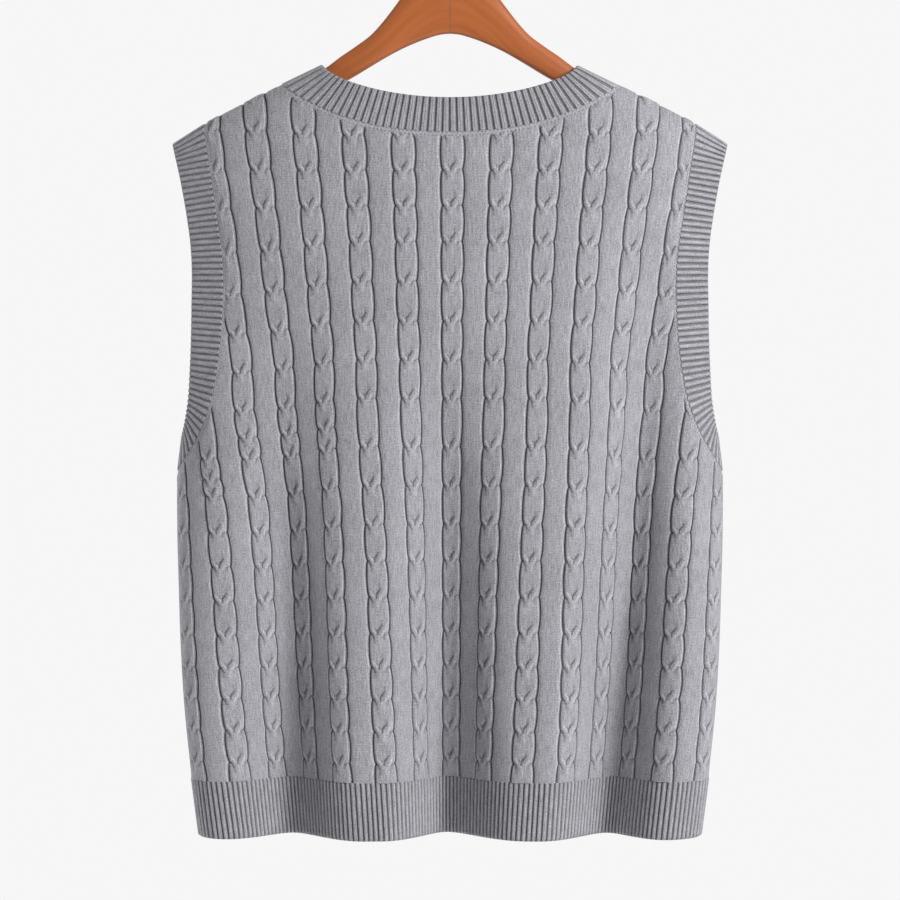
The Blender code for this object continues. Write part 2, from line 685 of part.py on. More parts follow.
def shank_cutter(top):
    """Guide that cuts the hook's socket into both arms."""
    bpy.ops.mesh.primitive_cylinder_add(vertices=16, radius=SHANK_SOCKET_RADIUS, depth=2 * SHANK_DEPTH)
    cutter = bpy.context.active_object
    cutter.name = "socket_cutter"
    cutter.location = (0.0, 0.0, top)
    cutter.hide_render = True
    cutter.display_type = "WIRE"
    return cutter


def hook(name, wood_top, material):
    """The wire hook: a shank, a swing out to one side and a round loop over the origin."""
    radius = HOOK_INNER_RADIUS + WIRE_RADIUS
    centre = -HOOK_INNER_RADIUS
    points = [(0.0, wood_top - SHANK_DEPTH + 0.0005), (0.0, wood_top), (0.0, wood_top + 0.008)]
    points += [(0.0012, centre - radius - 0.0045), (0.0062, centre - radius * 0.99)]
    for turn in np.radians(np.linspace(-58.0, 208.0, 18)):
        points.append((radius * math.cos(turn), centre + radius * math.sin(turn)))
    curve = bpy.data.curves.new(name, "CURVE")
    curve.dimensions = "3D"
    spline = curve.splines.new("POLY")
    spline.points.add(len(points) - 1)
    for target, (x, z) in zip(spline.points, points):
        target.co = (x, 0.0, z, 1.0)
    curve.bevel_depth = WIRE_RADIUS
    curve.bevel_resolution = 2
    curve.use_fill_caps = True
    curve.materials.append(material)
    made = bpy.data.objects.new(name, curve)
    bpy.context.scene.collection.objects.link(made)
    return made


def finish(name, colour, roughness, metallic=0.0):
    """A material with one colour, roughness and metallic value."""
    material = bpy.data.materials.new(name)
    material.use_nodes = True
    shader = material.node_tree.nodes["Principled BSDF"]
    shader.inputs["Base Color"].default_value = (*colour, 1.0)
    shader.inputs["Roughness"].default_value = roughness
    shader.inputs["Metallic"].default_value = metallic
    return material


def build_vest():
    """The seven knitted pieces."""
    heather = finish("heather_knit", (0.27, 0.275, 0.285), 0.95)
    rib = finish("heather_rib", (0.25, 0.255, 0.265), 0.95)
    crossings = crossing_drops()
    panel("back_panel", BACK, crossings, heather)
    panel("front_panel", FRONT, crossings, heather)
    hem_rib("hem_rib_back", BACK, rib)
    hem_rib("hem_rib_front", FRONT, rib)
    seam = neck_lines(neck_seam, NECK_SEAM_HALF_WIDTH)
    edge = neck_lines(neck_edge, NECK_EDGE_HALF_WIDTH)
    ribbed_band("neckband", seam, edge, NECK_RIB_PITCH, True, rib)
    for side, label in ((-1, "left"), (1, "right")):
        seam = armhole_lines(side, "seam_turn", ARMHOLE_SEAM_DROP)
        edge = armhole_lines(side, "edge_turn", ARMHOLE_EDGE_DROP)
        ribbed_band(f"armhole_band_{label}", seam, edge, ARMHOLE_RIB_PITCH, True, rib)


def build_hanger():
    """The two wooden arms and the wire hook."""
    wood = finish("stained_wood", (0.42, 0.13, 0.045), 0.35)
    steel = finish("polished_steel", (0.72, 0.72, 0.73), 0.22, metallic=1.0)
    wood_top = NECK_HEIGHT + HANGER_STATIONS[0].top
    cutter = shank_cutter(wood_top)
    for side, label in ((-1, "left"), (1, "right")):
        arm = hanger_arm(f"hanger_arm_{label}", side, wood)
        socket = arm.modifiers.new("socket", "BOOLEAN")
        socket.operation = "DIFFERENCE"
        socket.object = cutter
    hook("hanger_hook", wood_top, steel)


def main():
    """Clear the scene and build the vest and its hanger."""
    for existing in list(bpy.data.objects):
        bpy.data.objects.remove(existing, do_unlink=True)
    build_vest()
    build_hanger()


main()
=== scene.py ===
"""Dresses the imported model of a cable-knit sweater vest that hangs on a contoured wooden hanger.

The cloth follows the same tube of sections and folds as the solids. A place on it is given by its
turn angle round the body and its drop below the neck point, or by cable pitches and knitted courses.
"""

import logging
import math
from dataclasses import dataclass, field
from enum import Enum
from typing import Callable, NamedTuple, Optional, Sequence

import bpy
import numpy as np
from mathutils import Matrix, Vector
from mathutils.geometry import delaunay_2d_cdt


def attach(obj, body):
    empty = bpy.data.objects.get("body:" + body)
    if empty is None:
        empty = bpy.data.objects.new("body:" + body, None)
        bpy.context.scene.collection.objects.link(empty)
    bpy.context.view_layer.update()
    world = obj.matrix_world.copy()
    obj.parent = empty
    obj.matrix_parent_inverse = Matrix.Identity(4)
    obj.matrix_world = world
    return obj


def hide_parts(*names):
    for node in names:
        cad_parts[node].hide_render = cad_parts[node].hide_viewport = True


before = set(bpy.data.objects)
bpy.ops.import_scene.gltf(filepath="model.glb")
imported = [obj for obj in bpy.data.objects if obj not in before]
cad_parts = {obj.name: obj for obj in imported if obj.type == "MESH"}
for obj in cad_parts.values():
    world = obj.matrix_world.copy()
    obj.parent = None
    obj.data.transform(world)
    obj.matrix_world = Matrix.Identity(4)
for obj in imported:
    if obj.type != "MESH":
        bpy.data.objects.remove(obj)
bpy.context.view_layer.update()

LOG = logging.getLogger("vest")
BODY = "root"
SIDE_CABLES = 7.5
MILLIMETRE = 0.001
POINTS_AT_ONCE = 3000


class Sheet(Enum):
    """The two sheets of the tube of cloth, by the side of the body they cover."""

    BACK = -1
    FRONT = 1


class ArmholeLine(Enum):
    """The two lines round an armhole, by the column that holds their turn angles."""

    EDGE = "edge_turn"
    SEAM = "seam_turn"


class RibShape(NamedTuple):
    """One repeat of a rib, in shares of the repeat: its mesh columns, groove, wales and dips."""

    columns: tuple[float, ...]
    groove_place: float
    groove_half: float
    wales: tuple[float, ...]
    dips: tuple[float, ...]


class RibStyle(Enum):
    """How a rib repeats across a band."""

    TWO_BY_ONE = RibShape(
        columns=(
            0.0, 0.06, 0.12, 0.18, 0.24, 0.30, 0.345, 0.39, 0.45,
            0.51, 0.57, 0.63, 0.69, 0.75, 0.80, 0.85, 0.90, 0.95,
        ),
        groove_place=0.85,
        groove_half=0.19,
        wales=(0.18, 0.51),
        dips=(0.345,),
    )
    OPEN_RIB = RibShape(
        columns=(0.0, 0.12, 0.25, 0.38, 0.50, 0.60, 0.68, 0.74, 0.80, 0.86, 0.93),
        groove_place=0.80,
        groove_half=0.195,
        wales=(0.30,),
        dips=(),
    )
    CLOSE_RIB = RibShape(
        columns=(0.0, 0.10, 0.21, 0.32, 0.43, 0.53, 0.62, 0.70, 0.76, 0.82, 0.90),
        groove_place=0.76,
        groove_half=0.185,
        wales=(0.29,),
        dips=(),
    )


class Mark(NamedTuple):
    """A stroke that every crossing repeats: its two ends across and down from the middle."""

    start: tuple[float, float]
    end: tuple[float, float]
    width: float
    strength: float


class Section(NamedTuple):
    """Horizontal section of the tube of cloth at one drop below the neck point."""

    drop: float
    half_width: float
    crown: float
    forward: float
    pitch: float


class Fold(NamedTuple):
    """One hanging fold: its valley's run, its flanks' reach, its share of the depth and its onset."""

    sheet: Sheet
    x_upper: float
    x_hem: float
    left_reach: float
    right_reach: float
    depth_share: float
    start: float
    growth: float


class ArmholeRow(NamedTuple):
    """Turn angles, in degrees, of an armhole's free edge and seam, from shoulder to underarm."""

    travel: float
    edge_turn: float
    seam_turn: float


class RibShift(NamedTuple):
    """How far an armhole's ribs meet the seam below their even place, at a fall from the shoulder."""

    fall: float
    shift: float


class CrossingRun(NamedTuple):
    """A run of cable crossings with one spacing, from the neck down."""

    count: int
    spacing: float


class ExtraCrossing(NamedTuple):
    """One more crossing after a given one, on some of the cables counted from the middle."""

    after: int
    cables: tuple[int, ...]


class DroopKnot(NamedTuple):
    """Share of the full side droop that a course has."""

    course: float
    share: float


class Layer(NamedTuple):
    """One layer of tone in the yarn: its range of noise and its share of the whole."""

    low: float
    high: float
    share: float


class DotRow(NamedTuple):
    """A row of small holes beside a seam, in stitches along it and metres away from it."""

    shift: float
    length: float
    away: float
    width: float


class ArmStation(NamedTuple):
    """Upright section of a hanger arm: its height span above the neck point at a distance out."""

    x: float
    top: float
    bottom: float


def smooth(knots: Sequence[float], values: Sequence[float], places: np.ndarray) -> np.ndarray:
    """Read a smooth curve through the knots, as a cubic with matched slopes.

    Args:
        knots: rising places of the known values.
        values: the value at each knot.
        places: where to read the curve.

    Returns:
        The curve's values at the places.
    """
    knots, values = np.asarray(knots, float), np.asarray(values, float)
    steps = np.diff(knots)
    rates = np.diff(values) / steps
    slopes = np.empty(len(knots))
    slopes[0], slopes[-1] = rates[0], rates[-1]
    slopes[1:-1] = (rates[:-1] * steps[1:] + rates[1:] * steps[:-1]) / (steps[:-1] + steps[1:])
    places = np.clip(np.asarray(places, float), knots[0], knots[-1])
    spot = np.clip(np.searchsorted(knots, places, side="right") - 1, 0, len(knots) - 2)
    width = steps[spot]
    t = (places - knots[spot]) / width
    rise = (1 + 2 * t) * (1 - t) ** 2 * values[spot] + t**2 * (3 - 2 * t) * values[spot + 1]
    return rise + width * (t * (1 - t) ** 2 * slopes[spot] - t**2 * (1 - t) * slopes[spot + 1])


def ramp(low: float, high: float, value: np.ndarray) -> np.ndarray:
    """Smooth step from 0 at low to 1 at high."""
    share = np.clip((value - low) / (high - low), 0.0, 1.0)
    return share**2 * (3 - 2 * share)


def unit(vectors: np.ndarray) -> np.ndarray:
    """Vectors of length one."""
    return vectors / np.linalg.norm(vectors, axis=-1, keepdims=True)


@dataclass(frozen=True)
class Drape:
    """The hanging tube of cloth that every knitted piece follows."""

    neck_height: float = -0.152
    length: float = 0.641
    hem_seam: float = 0.5936
    seam_gap: float = 0.0003
    side_exponent: float = 3.0
    forward_half_width: float = 0.230
    slope_step: float = 0.0003
    shoulder_slope: float = 0.481
    shoulder_bend: float = 0.040
    shoulder_rounding: float = 0.060
    droop_start: float = 0.185
    droop_rate: float = 1.6
    first_guess: float = 0.05
    settling_rounds: int = 40
    neck_edge_half: float = 0.106
    neck_seam_half: float = 0.141
    back_edge_depth: float = 0.030
    back_edge_curve: float = 0.67
    back_seam_depth: float = 0.043
    back_seam_curve: float = 0.90
    back_seam_power: float = 2.3
    v_edge_drop: float = 0.185
    v_seam_drop: float = 0.241
    v_curve: float = 0.92
    fold_table_drop: float = 0.381
    valley_rounding: float = 0.20
    armhole_edge_drop: float = 0.312
    armhole_seam_drop: float = 0.340
    rib_shifts: tuple[RibShift, ...] = (
        RibShift(0.000, 0.0),
        RibShift(0.012, 0.0070),
        RibShift(0.060, 0.0045),
        RibShift(0.110, 0.0),
        RibShift(0.170, -0.0060),
        RibShift(0.225, -0.0130),
        RibShift(0.265, -0.0120),
        RibShift(0.300, 0.0),
    )
    sections: tuple[Section, ...] = (
        Section(-0.050, 0.2680, 0.0210, 0.0280, 0.0422),
        Section(0.000, 0.2610, 0.0230, 0.0280, 0.0420),
        Section(0.050, 0.2530, 0.0260, 0.0280, 0.0413),
        Section(0.100, 0.2425, 0.0310, 0.0270, 0.0397),
        Section(0.140, 0.2365, 0.0360, 0.0250, 0.0383),
        Section(0.205, 0.2335, 0.0440, 0.0180, 0.0365),
        Section(0.255, 0.2280, 0.0520, 0.0090, 0.0352),
        Section(0.285, 0.2240, 0.0565, 0.0050, 0.0359),
        Section(0.312, 0.2230, 0.0600, 0.0015, 0.0368),
        Section(0.340, 0.2258, 0.0620, -0.0035, 0.0375),
        Section(0.385, 0.2253, 0.0620, -0.0140, 0.0375),
        Section(0.435, 0.2230, 0.0605, -0.0240, 0.0375),
        Section(0.485, 0.2209, 0.0600, -0.0290, 0.0375),
        Section(0.535, 0.2177, 0.0605, -0.0315, 0.0375),
        Section(0.575, 0.2137, 0.0610, -0.0325, 0.0375),
        Section(0.600, 0.2109, 0.0610, -0.0330, 0.0375),
        Section(0.625, 0.2072, 0.0612, -0.0333, 0.0375),
        Section(0.650, 0.2048, 0.0612, -0.0335, 0.0375),
    )
    folds: tuple[Fold, ...] = (
        Fold(Sheet.BACK, -0.135, -0.132, 0.068, 0.062, 0.88, 0.160, 1.25),
        Fold(Sheet.BACK, -0.004, -0.003, 0.053, 0.066, 0.78, 0.200, 1.25),
        Fold(Sheet.BACK, 0.154, 0.131, 0.060, 0.052, 0.86, 0.100, 1.75),
        Fold(Sheet.FRONT, -0.128, -0.112, 0.058, 0.058, 0.60, 0.200, 1.25),
        Fold(Sheet.FRONT, 0.008, 0.012, 0.066, 0.056, 0.56, 0.200, 1.25),
        Fold(Sheet.FRONT, 0.131, 0.126, 0.058, 0.060, 0.62, 0.200, 1.25),
    )
    armhole: tuple[ArmholeRow, ...] = (
        ArmholeRow(0, 70.5, 55.0),
        ArmholeRow(30, 69.6, 55.2),
        ArmholeRow(60, 68.3, 55.0),
        ArmholeRow(90, 67.2, 53.6),
        ArmholeRow(120, 71.0, 59.0),
        ArmholeRow(150, 79.5, 72.0),
        ArmholeRow(180, 90.0, 90.0),
    )

    def section(self, name: str, drop: np.ndarray) -> np.ndarray:
        """One column of the section table, read at any drop."""
        drops = [row.drop for row in self.sections]
        return smooth(drops, [getattr(row, name) for row in self.sections], drop)

    def shoulder_drop(self, x: np.ndarray) -> np.ndarray:
        """Drop of the shoulder line at a distance out from the middle.

        Args:
            x: distances from the middle.

        Returns:
            Drops below the neck point.
        """
        out = np.abs(x)
        bend = np.hypot(out, self.shoulder_bend) - math.hypot(self.neck_edge_half, self.shoulder_bend)
        return self.shoulder_slope * bend + self.droop_rate * np.maximum(out - self.droop_start, 0.0) ** 2

    def fold_share(self, sheet: Sheet, x: np.ndarray, drop: np.ndarray) -> np.ndarray:
        """Share of the tube's depth that the folds take away.

        Args:
            sheet: which sheet of the tube.
            x: distances from the middle.
            drop: drops below the neck point.

        Returns:
            Shares of the depth.
        """
        lift = (self.length - drop) / (self.length - self.fold_table_drop)
        full = math.hypot(1.0, self.valley_rounding) - self.valley_rounding
        share = np.zeros(np.broadcast(x, drop).shape)
        for fold in (row for row in self.folds if row.sheet is sheet):
            along = np.clip((drop - fold.start) / (self.length - fold.start), 0.0, 1.0)
            growth = 1 - (1 - along) ** fold.growth
            away = x - (fold.x_hem + (fold.x_upper - fold.x_hem) * lift)
            reach = np.where(away < 0, fold.left_reach, fold.right_reach)
            flank = (np.hypot(away / reach, self.valley_rounding) - self.valley_rounding) / full
            rise = np.sin(0.5 * math.pi * np.minimum(flank, 1.0))
            share = share + fold.depth_share * growth * (1 - rise)
        return share

    def depth_squared(
        self, sheet: Sheet, x: np.ndarray, drop: np.ndarray, at_shoulder: bool = True
    ) -> np.ndarray:
        """Square of the cloth's depth from the mid surface, zero at the sides and the shoulders.

        Args:
            sheet: which sheet of the tube.
            x: distances from the middle.
            drop: drops below the neck point.
            at_shoulder: whether the cloth also closes over the shoulders.

        Returns:
            Squared depths.
        """
        side = 1 - np.abs(x / self.section("half_width", drop)) ** self.side_exponent
        depth = self.section("crown", drop) * (1 - self.fold_share(sheet, x, drop))
        if not at_shoulder:
            return depth**2 * side
        below = np.minimum((drop - self.shoulder_drop(x)) / self.shoulder_rounding, 1.0)
        return depth**2 * side * (1 - (1 - below) ** 2)

    def mid_surface(self, x: np.ndarray, drop: np.ndarray) -> np.ndarray:
        """How far the mid surface sweeps forward, as the contoured hanger does."""
        return self.section("forward", drop) * (x / self.forward_half_width) ** 2

    def cloth(
        self, sheet: Sheet, turn: np.ndarray, drop: np.ndarray, gap: Optional[float] = None
    ) -> tuple[np.ndarray, np.ndarray]:
        """Points on the inside of the cloth and the outward normals there.

        Args:
            sheet: which sheet of the tube.
            turn: turn angles round the body, in radians.
            drop: drops below the neck point.
            gap: how far the sheet stands off the mid surface, half the seam gap if not given.

        Returns:
            The points and the unit normals, each with a last axis of three.
        """
        gap = self.seam_gap / 2 if gap is None else gap
        turn, drop = np.broadcast_arrays(np.asarray(turn, float), np.asarray(drop, float))
        side, step = sheet.value, self.slope_step
        x = self.section("half_width", drop) * np.sin(turn)
        depth = np.sqrt(np.maximum(self.depth_squared(sheet, x, drop), 0.0))
        along_x = self.depth_squared(sheet, x + step, drop) - self.depth_squared(sheet, x - step, drop)
        along_z = self.depth_squared(sheet, x, drop + step) - self.depth_squared(sheet, x, drop - step)
        mid_x = self.mid_surface(x + step, drop) - self.mid_surface(x - step, drop)
        mid_z = self.mid_surface(x, drop + step) - self.mid_surface(x, drop - step)
        normals = np.stack(
            [
                -along_x - 2 * side * depth * mid_x,
                2 * side * depth * 2 * step,
                along_z + 2 * side * depth * mid_z,
            ],
            axis=-1,
        )
        y = self.mid_surface(x, drop) + side * (depth + gap)
        return np.stack([x, y, self.neck_height - drop], axis=-1), unit(normals)

    def neck_seam(self, sheet: Sheet, x: np.ndarray) -> np.ndarray:
        """Drop of the seam between a panel and the neckband.

        Args:
            sheet: which sheet of the tube.
            x: distances from the middle.

        Returns:
            The seam's drops.
        """
        share = np.minimum(np.abs(x) / self.neck_seam_half, 1.0)
        top = self.shoulder_drop(self.neck_seam_half)
        if sheet is Sheet.BACK:
            return top + self.back_seam_depth * (1 - share**self.back_seam_power) ** self.back_seam_curve
        return top + (self.v_seam_drop - top) * (1 - share) ** self.v_curve

    def neck_edge(self, sheet: Sheet, x: np.ndarray) -> np.ndarray:
        """Drop of the neckband's free edge.

        Args:
            sheet: which sheet of the tube.
            x: distances from the middle.

        Returns:
            The edge's drops.
        """
        share = np.minimum(np.abs(x) / self.neck_edge_half, 1.0)
        top = self.shoulder_drop(self.neck_edge_half)
        if sheet is Sheet.BACK:
            return top + self.back_edge_depth * (1 - share**2) ** self.back_edge_curve
        return top + (self.v_edge_drop - top) * (1 - share) ** self.v_curve

    def turn_of(self, x: np.ndarray, drop: np.ndarray) -> np.ndarray:
        """Turn angle of a place given by its distance from the middle."""
        return np.arcsin(np.clip(x / self.section("half_width", drop), -1.0, 1.0))

    def on_shoulder(self, turn: float) -> float:
        """Drop at which a turn angle meets the shoulder line.

        Args:
            turn: turn angle round the body, in radians.

        Returns:
            The drop.
        """
        drop = self.first_guess
        for _ in range(self.settling_rounds):
            drop = float(self.shoulder_drop(self.section("half_width", drop) * math.sin(turn)))
        return drop

    def armhole_line(
        self, line: ArmholeLine, end_drop: float, steps: int, shifted: bool = False
    ) -> tuple[np.ndarray, np.ndarray]:
        """Turn angles and drops along one armhole line, from shoulder to underarm.

        Args:
            line: the armhole's edge or its seam.
            end_drop: drop at the underarm.
            steps: how many steps the line takes.
            shifted: whether its steps follow the slant of the ribs instead of lying even.

        Returns:
            The turn angles and the drops.
        """
        rows = [row.travel for row in self.armhole]
        angles = [math.radians(getattr(row, line.value)) for row in self.armhole]
        start = self.on_shoulder(angles[0])
        fall = (1 - np.cos(np.linspace(0.0, math.pi, steps + 1))) / 2 * (end_drop - start)
        if shifted:
            knots, shifts = zip(*self.rib_shifts)
            fall = fall + smooth(knots, shifts, fall * knots[-1] / fall[-1])
        travel = np.degrees(np.arccos(np.clip(1 - 2 * fall / (end_drop - start), -1.0, 1.0)))
        return smooth(rows, angles, travel), start + fall


@dataclass
class CableMap:
    """Cable pitches from the middle to each place on a sheet, measured along the curved cloth."""

    drape: Drape
    sheet: Sheet
    pattern_shift: float = 0.048
    blend_start: float = 0.24
    blend_length: float = 0.14
    first_drop: float = -0.04
    past_hem: float = 0.012
    drop_step: float = 0.004
    turns: np.ndarray = field(default_factory=lambda: np.linspace(-math.pi / 2, math.pi / 2, 361))
    cables: np.ndarray = field(default_factory=lambda: np.linspace(-SIDE_CABLES, SIDE_CABLES, 1501))

    def __post_init__(self) -> None:
        """Fill the two tables, of cables by turn and of turns by cable."""
        drops = np.arange(self.first_drop, self.drape.length + self.past_hem, self.drop_step)
        self.by_turn = np.array([self.row(float(drop)) for drop in drops])
        self.by_cable = np.array([np.interp(self.cables, row, self.turns) for row in self.by_turn])

    def row(self, drop: float) -> np.ndarray:
        """Cable pitches at each turn of one section.

        Args:
            drop: drop of the section.

        Returns:
            A number of pitches for each turn.
        """
        x = self.drape.section("half_width", drop) * np.sin(self.turns)
        depth = np.sqrt(np.maximum(self.drape.depth_squared(self.sheet, x, drop, False), 0.0))
        y = self.drape.mid_surface(x, drop) + self.sheet.value * depth
        length = np.concatenate([[0.0], np.cumsum(np.hypot(np.diff(x), np.diff(y)))])
        length -= np.interp(0.0, x, length)
        blend = float(ramp(self.blend_start, self.blend_start + self.blend_length, np.float64(drop)))
        table_pitch = float(self.drape.section("pitch", drop))
        ends = np.where(length < 0, -length[0], length[-1]) / SIDE_CABLES
        cables = length / (table_pitch + (ends - table_pitch) * blend)
        return cables - self.pattern_shift * (1 - (cables / SIDE_CABLES) ** 2)

    def read(
        self, table: np.ndarray, knots: np.ndarray, place: np.ndarray, drop: np.ndarray
    ) -> np.ndarray:
        """Read one table between its rows and columns.

        Args:
            table: the table, with a row for each drop.
            knots: the even places of its columns.
            place: where to read across.
            drop: where to read down.

        Returns:
            The table's values there.
        """
        row = np.clip((drop - self.first_drop) / self.drop_step, 0, len(table) - 1.001)
        column = np.clip((place - knots[0]) / (knots[1] - knots[0]), 0, len(knots) - 1.001)
        i, j = np.floor(row).astype(int), np.floor(column).astype(int)
        down, over = row - i, column - j
        upper = table[i, j] * (1 - over) + table[i, j + 1] * over
        lower = table[i + 1, j] * (1 - over) + table[i + 1, j + 1] * over
        return upper * (1 - down) + lower * down

    def cables_at(self, turn: np.ndarray, drop: np.ndarray) -> np.ndarray:
        """Cable pitches from the middle at turn angles and drops."""
        return self.read(self.by_turn, self.turns, np.asarray(turn), np.asarray(drop))

    def turn_at(self, cables: np.ndarray, drop: np.ndarray) -> np.ndarray:
        """Turn angles of places that are some cable pitches from the middle."""
        return self.read(self.by_cable, self.cables, np.asarray(cables), np.asarray(drop))


@dataclass(frozen=True)
class CableKnit:
    """The cable pattern: plain strips between cables that cross again and again down the cloth."""

    wall: float = 0.0020
    pitch: float = 0.035
    first_crossing: float = 0.061
    runs: tuple[CrossingRun, ...] = (
        CrossingRun(3, 0.0299),
        CrossingRun(2, 0.0330),
        CrossingRun(2, 0.0317),
        CrossingRun(1, 0.0395),
        CrossingRun(2, 0.0316),
        CrossingRun(3, 0.0296),
        CrossingRun(1, 0.0276),
        CrossingRun(3, 0.0262),
    )
    rows_above: int = 3
    extras: tuple[ExtraCrossing, ...] = (
        ExtraCrossing(7, (-5, -4, -3)),
        ExtraCrossing(8, (-6,)),
    )
    extra_share: float = 0.56
    pinch_half: tuple[float, float] = (0.192, 0.208)
    bulge: tuple[float, float] = (0.055, 0.043)
    bulge_power: tuple[float, float] = (0.36, 0.62)
    crossing_rise: float = 0.0007
    cable_rise: float = 0.0012
    strip_rise: float = 0.0003
    channel_sink: float = 0.0012
    shoulder: float = 0.00085
    shoulder_power: float = 1.5
    swell_power: float = 0.7
    doming: float = 0.20
    strand_rise: float = 0.0006
    crease_sink: float = 0.0009
    # Width of the channels' painted shade, then the place and width of the painted highlights beside them.
    groove_width: float = 0.00078
    edge_line: float = 0.0014
    edge_width: float = 0.0006
    side_droop: float = 0.0100
    droop_from: float = 2.0
    droop_full: float = 5.2
    settling_rounds: int = 6
    droop_knots: tuple[DroopKnot, ...] = (
        DroopKnot(0.0, -0.9),
        DroopKnot(0.061, -0.8),
        DroopKnot(0.091, -0.4),
        DroopKnot(0.121, 0.0),
        DroopKnot(0.160, 1.0),
        DroopKnot(0.322, 1.0),
        DroopKnot(0.533, 0.0),
        DroopKnot(0.660, 0.0),
    )
    chain_height: float = 0.0044
    chain_blend: float = 0.0012
    course: float = 0.00135
    wales: int = 18
    # Creases are sunk into the relief and also get painted shade; strands are raised and also get painted
    # highlights.
    creases: tuple[Mark, ...] = (
        Mark((-0.0010, 0.0008), (-0.0007, -0.0020), 0.00075, 0.85),
        Mark((-0.0007, -0.0020), (0.0010, -0.0044), 0.00090, 1.0),
        Mark((0.0010, -0.0044), (0.0024, -0.0066), 0.00085, 0.80),
        Mark((0.0024, -0.0066), (0.0022, -0.0102), 0.00120, 0.30),
        Mark((-0.0028, -0.0036), (-0.0019, -0.0018), 0.00060, 0.45),
        Mark((-0.0074, 0.0003), (-0.0054, 0.0012), 0.00080, 0.95),
        Mark((-0.0054, 0.0012), (-0.0042, 0.0042), 0.00095, 0.90),
        Mark((-0.0042, 0.0042), (-0.0038, 0.0076), 0.00120, 0.45),
        Mark((0.0064, -0.0004), (0.0044, 0.0012), 0.00075, 0.60),
        Mark((0.0044, 0.0012), (0.0038, 0.0036), 0.00100, 0.35),
    )
    strands: tuple[Mark, ...] = (
        Mark((0.0056, -0.0080), (0.0043, -0.0030), 0.00090, 0.60),
        Mark((0.0043, -0.0030), (0.0018, 0.0018), 0.00105, 1.0),
        Mark((-0.0058, -0.0042), (-0.0028, 0.0004), 0.00090, 0.95),
        Mark((-0.0002, 0.0030), (0.0004, 0.0076), 0.00140, 0.55),
    )

    def crossings(self, extra: Optional[ExtraCrossing] = None) -> np.ndarray:
        """Courses at which the cables cross, with one more where it is asked for.

        Args:
            extra: the extra crossing, if the cable has one.

        Returns:
            The courses, from the top down.
        """
        above = range(self.rows_above, -1, -1)
        drops = [self.first_crossing - self.runs[0].spacing * n for n in above]
        for run in self.runs:
            for _ in range(run.count):
                drops.append(drops[-1] + run.spacing)
        drops.append(drops[-1] + self.runs[-1].spacing)
        if extra is not None:
            at = extra.after + self.rows_above
            drops.insert(at + 1, drops[at] + (drops[at + 1] - drops[at]) * self.extra_share)
        return np.array(drops)

    def droop(self, cables: np.ndarray, course: np.ndarray) -> np.ndarray:
        """How far the courses hang lower towards the sides.

        Args:
            cables: cable pitches from the middle.
            course: courses.

        Returns:
            Distances down.
        """
        knots, shares = zip(*self.droop_knots)
        down = np.clip(smooth(knots, shares, course), -1.0, 1.0)
        return self.side_droop * down * ramp(self.droop_from, self.droop_full, np.abs(cables))

    def course_of(self, cables: np.ndarray, drop: np.ndarray) -> np.ndarray:
        """The course that lies at a drop.

        Args:
            cables: cable pitches from the middle.
            drop: drops below the neck point.

        Returns:
            Courses.
        """
        course = np.asarray(drop, float)
        for _ in range(self.settling_rounds):
            course = drop - self.droop(cables, course)
        return course

    def phase(self, cables: np.ndarray, course: np.ndarray) -> tuple[np.ndarray, np.ndarray]:
        """Crossings passed so far, and the distance between the two around each place.

        Args:
            cables: cable pitches from the middle.
            course: courses.

        Returns:
            Numbers of crossings, and the distances.
        """
        places, steps = np.broadcast_arrays(np.round(cables), course)
        phase, gap = self.between(self.crossings(), steps)
        for extra in self.extras:
            here = np.isin(places, extra.cables)
            more_phase, more_gap = self.between(self.crossings(extra), steps)
            phase, gap = np.where(here, more_phase, phase), np.where(here, more_gap, gap)
        return phase, gap

    def between(self, rows: np.ndarray, course: np.ndarray) -> tuple[np.ndarray, np.ndarray]:
        """Crossings passed and the gap around each course, for one list of crossings."""
        spot = np.clip(np.searchsorted(rows, course) - 1, 0, len(rows) - 2)
        return np.interp(course, rows, np.arange(len(rows), dtype=float)), np.diff(rows)[spot]

    def channel_table(self) -> list[tuple[float, float, float]]:
        """Pinched half width, bulge and its power for the left and the right channel."""
        return list(zip(self.pinch_half, self.bulge, self.bulge_power))

    def channels(self, phase: np.ndarray) -> tuple[np.ndarray, np.ndarray]:
        """Half widths of a cable to its left and right channel, in pitches.

        Args:
            phase: crossings passed so far.

        Returns:
            Left and right half widths.
        """
        swell = np.abs(np.sin(math.pi * phase))
        left, right = (low + rise * swell**power for low, rise, power in self.channel_table())
        return left, right

    def relief(self, cables: np.ndarray, course: np.ndarray) -> np.ndarray:
        """Height of the outer wall over the inner one.

        Args:
            cables: cable pitches from the middle.
            course: knitted courses as drops without the droop.

        Returns:
            Heights in metres.
        """
        beside = cables - np.round(cables)
        phase, gap = self.phase(cables, course)
        left, right = self.channels(phase)
        half = np.where(beside < 0, left, right)
        away = np.abs(np.abs(beside) - half) * self.pitch
        swell = np.abs(np.sin(math.pi * phase)) ** self.swell_power
        across = beside * self.pitch
        along = (phase - np.round(phase)) * gap
        crown = self.crossing_rise + (self.cable_rise - self.crossing_rise) * swell
        crown = crown + self.strength(self.strands, across, along) * self.strand_rise
        dome = crown * (1 - self.doming * (beside / half) ** 2)
        top = np.where(np.abs(beside) < half, dome, self.strip_rise)
        from_channel = 1 - np.exp(-((away / self.shoulder) ** self.shoulder_power))
        lifted = (top + self.channel_sink) * from_channel
        creased = self.strength(self.creases, across, along) * self.crease_sink
        return self.wall + lifted - self.channel_sink - creased

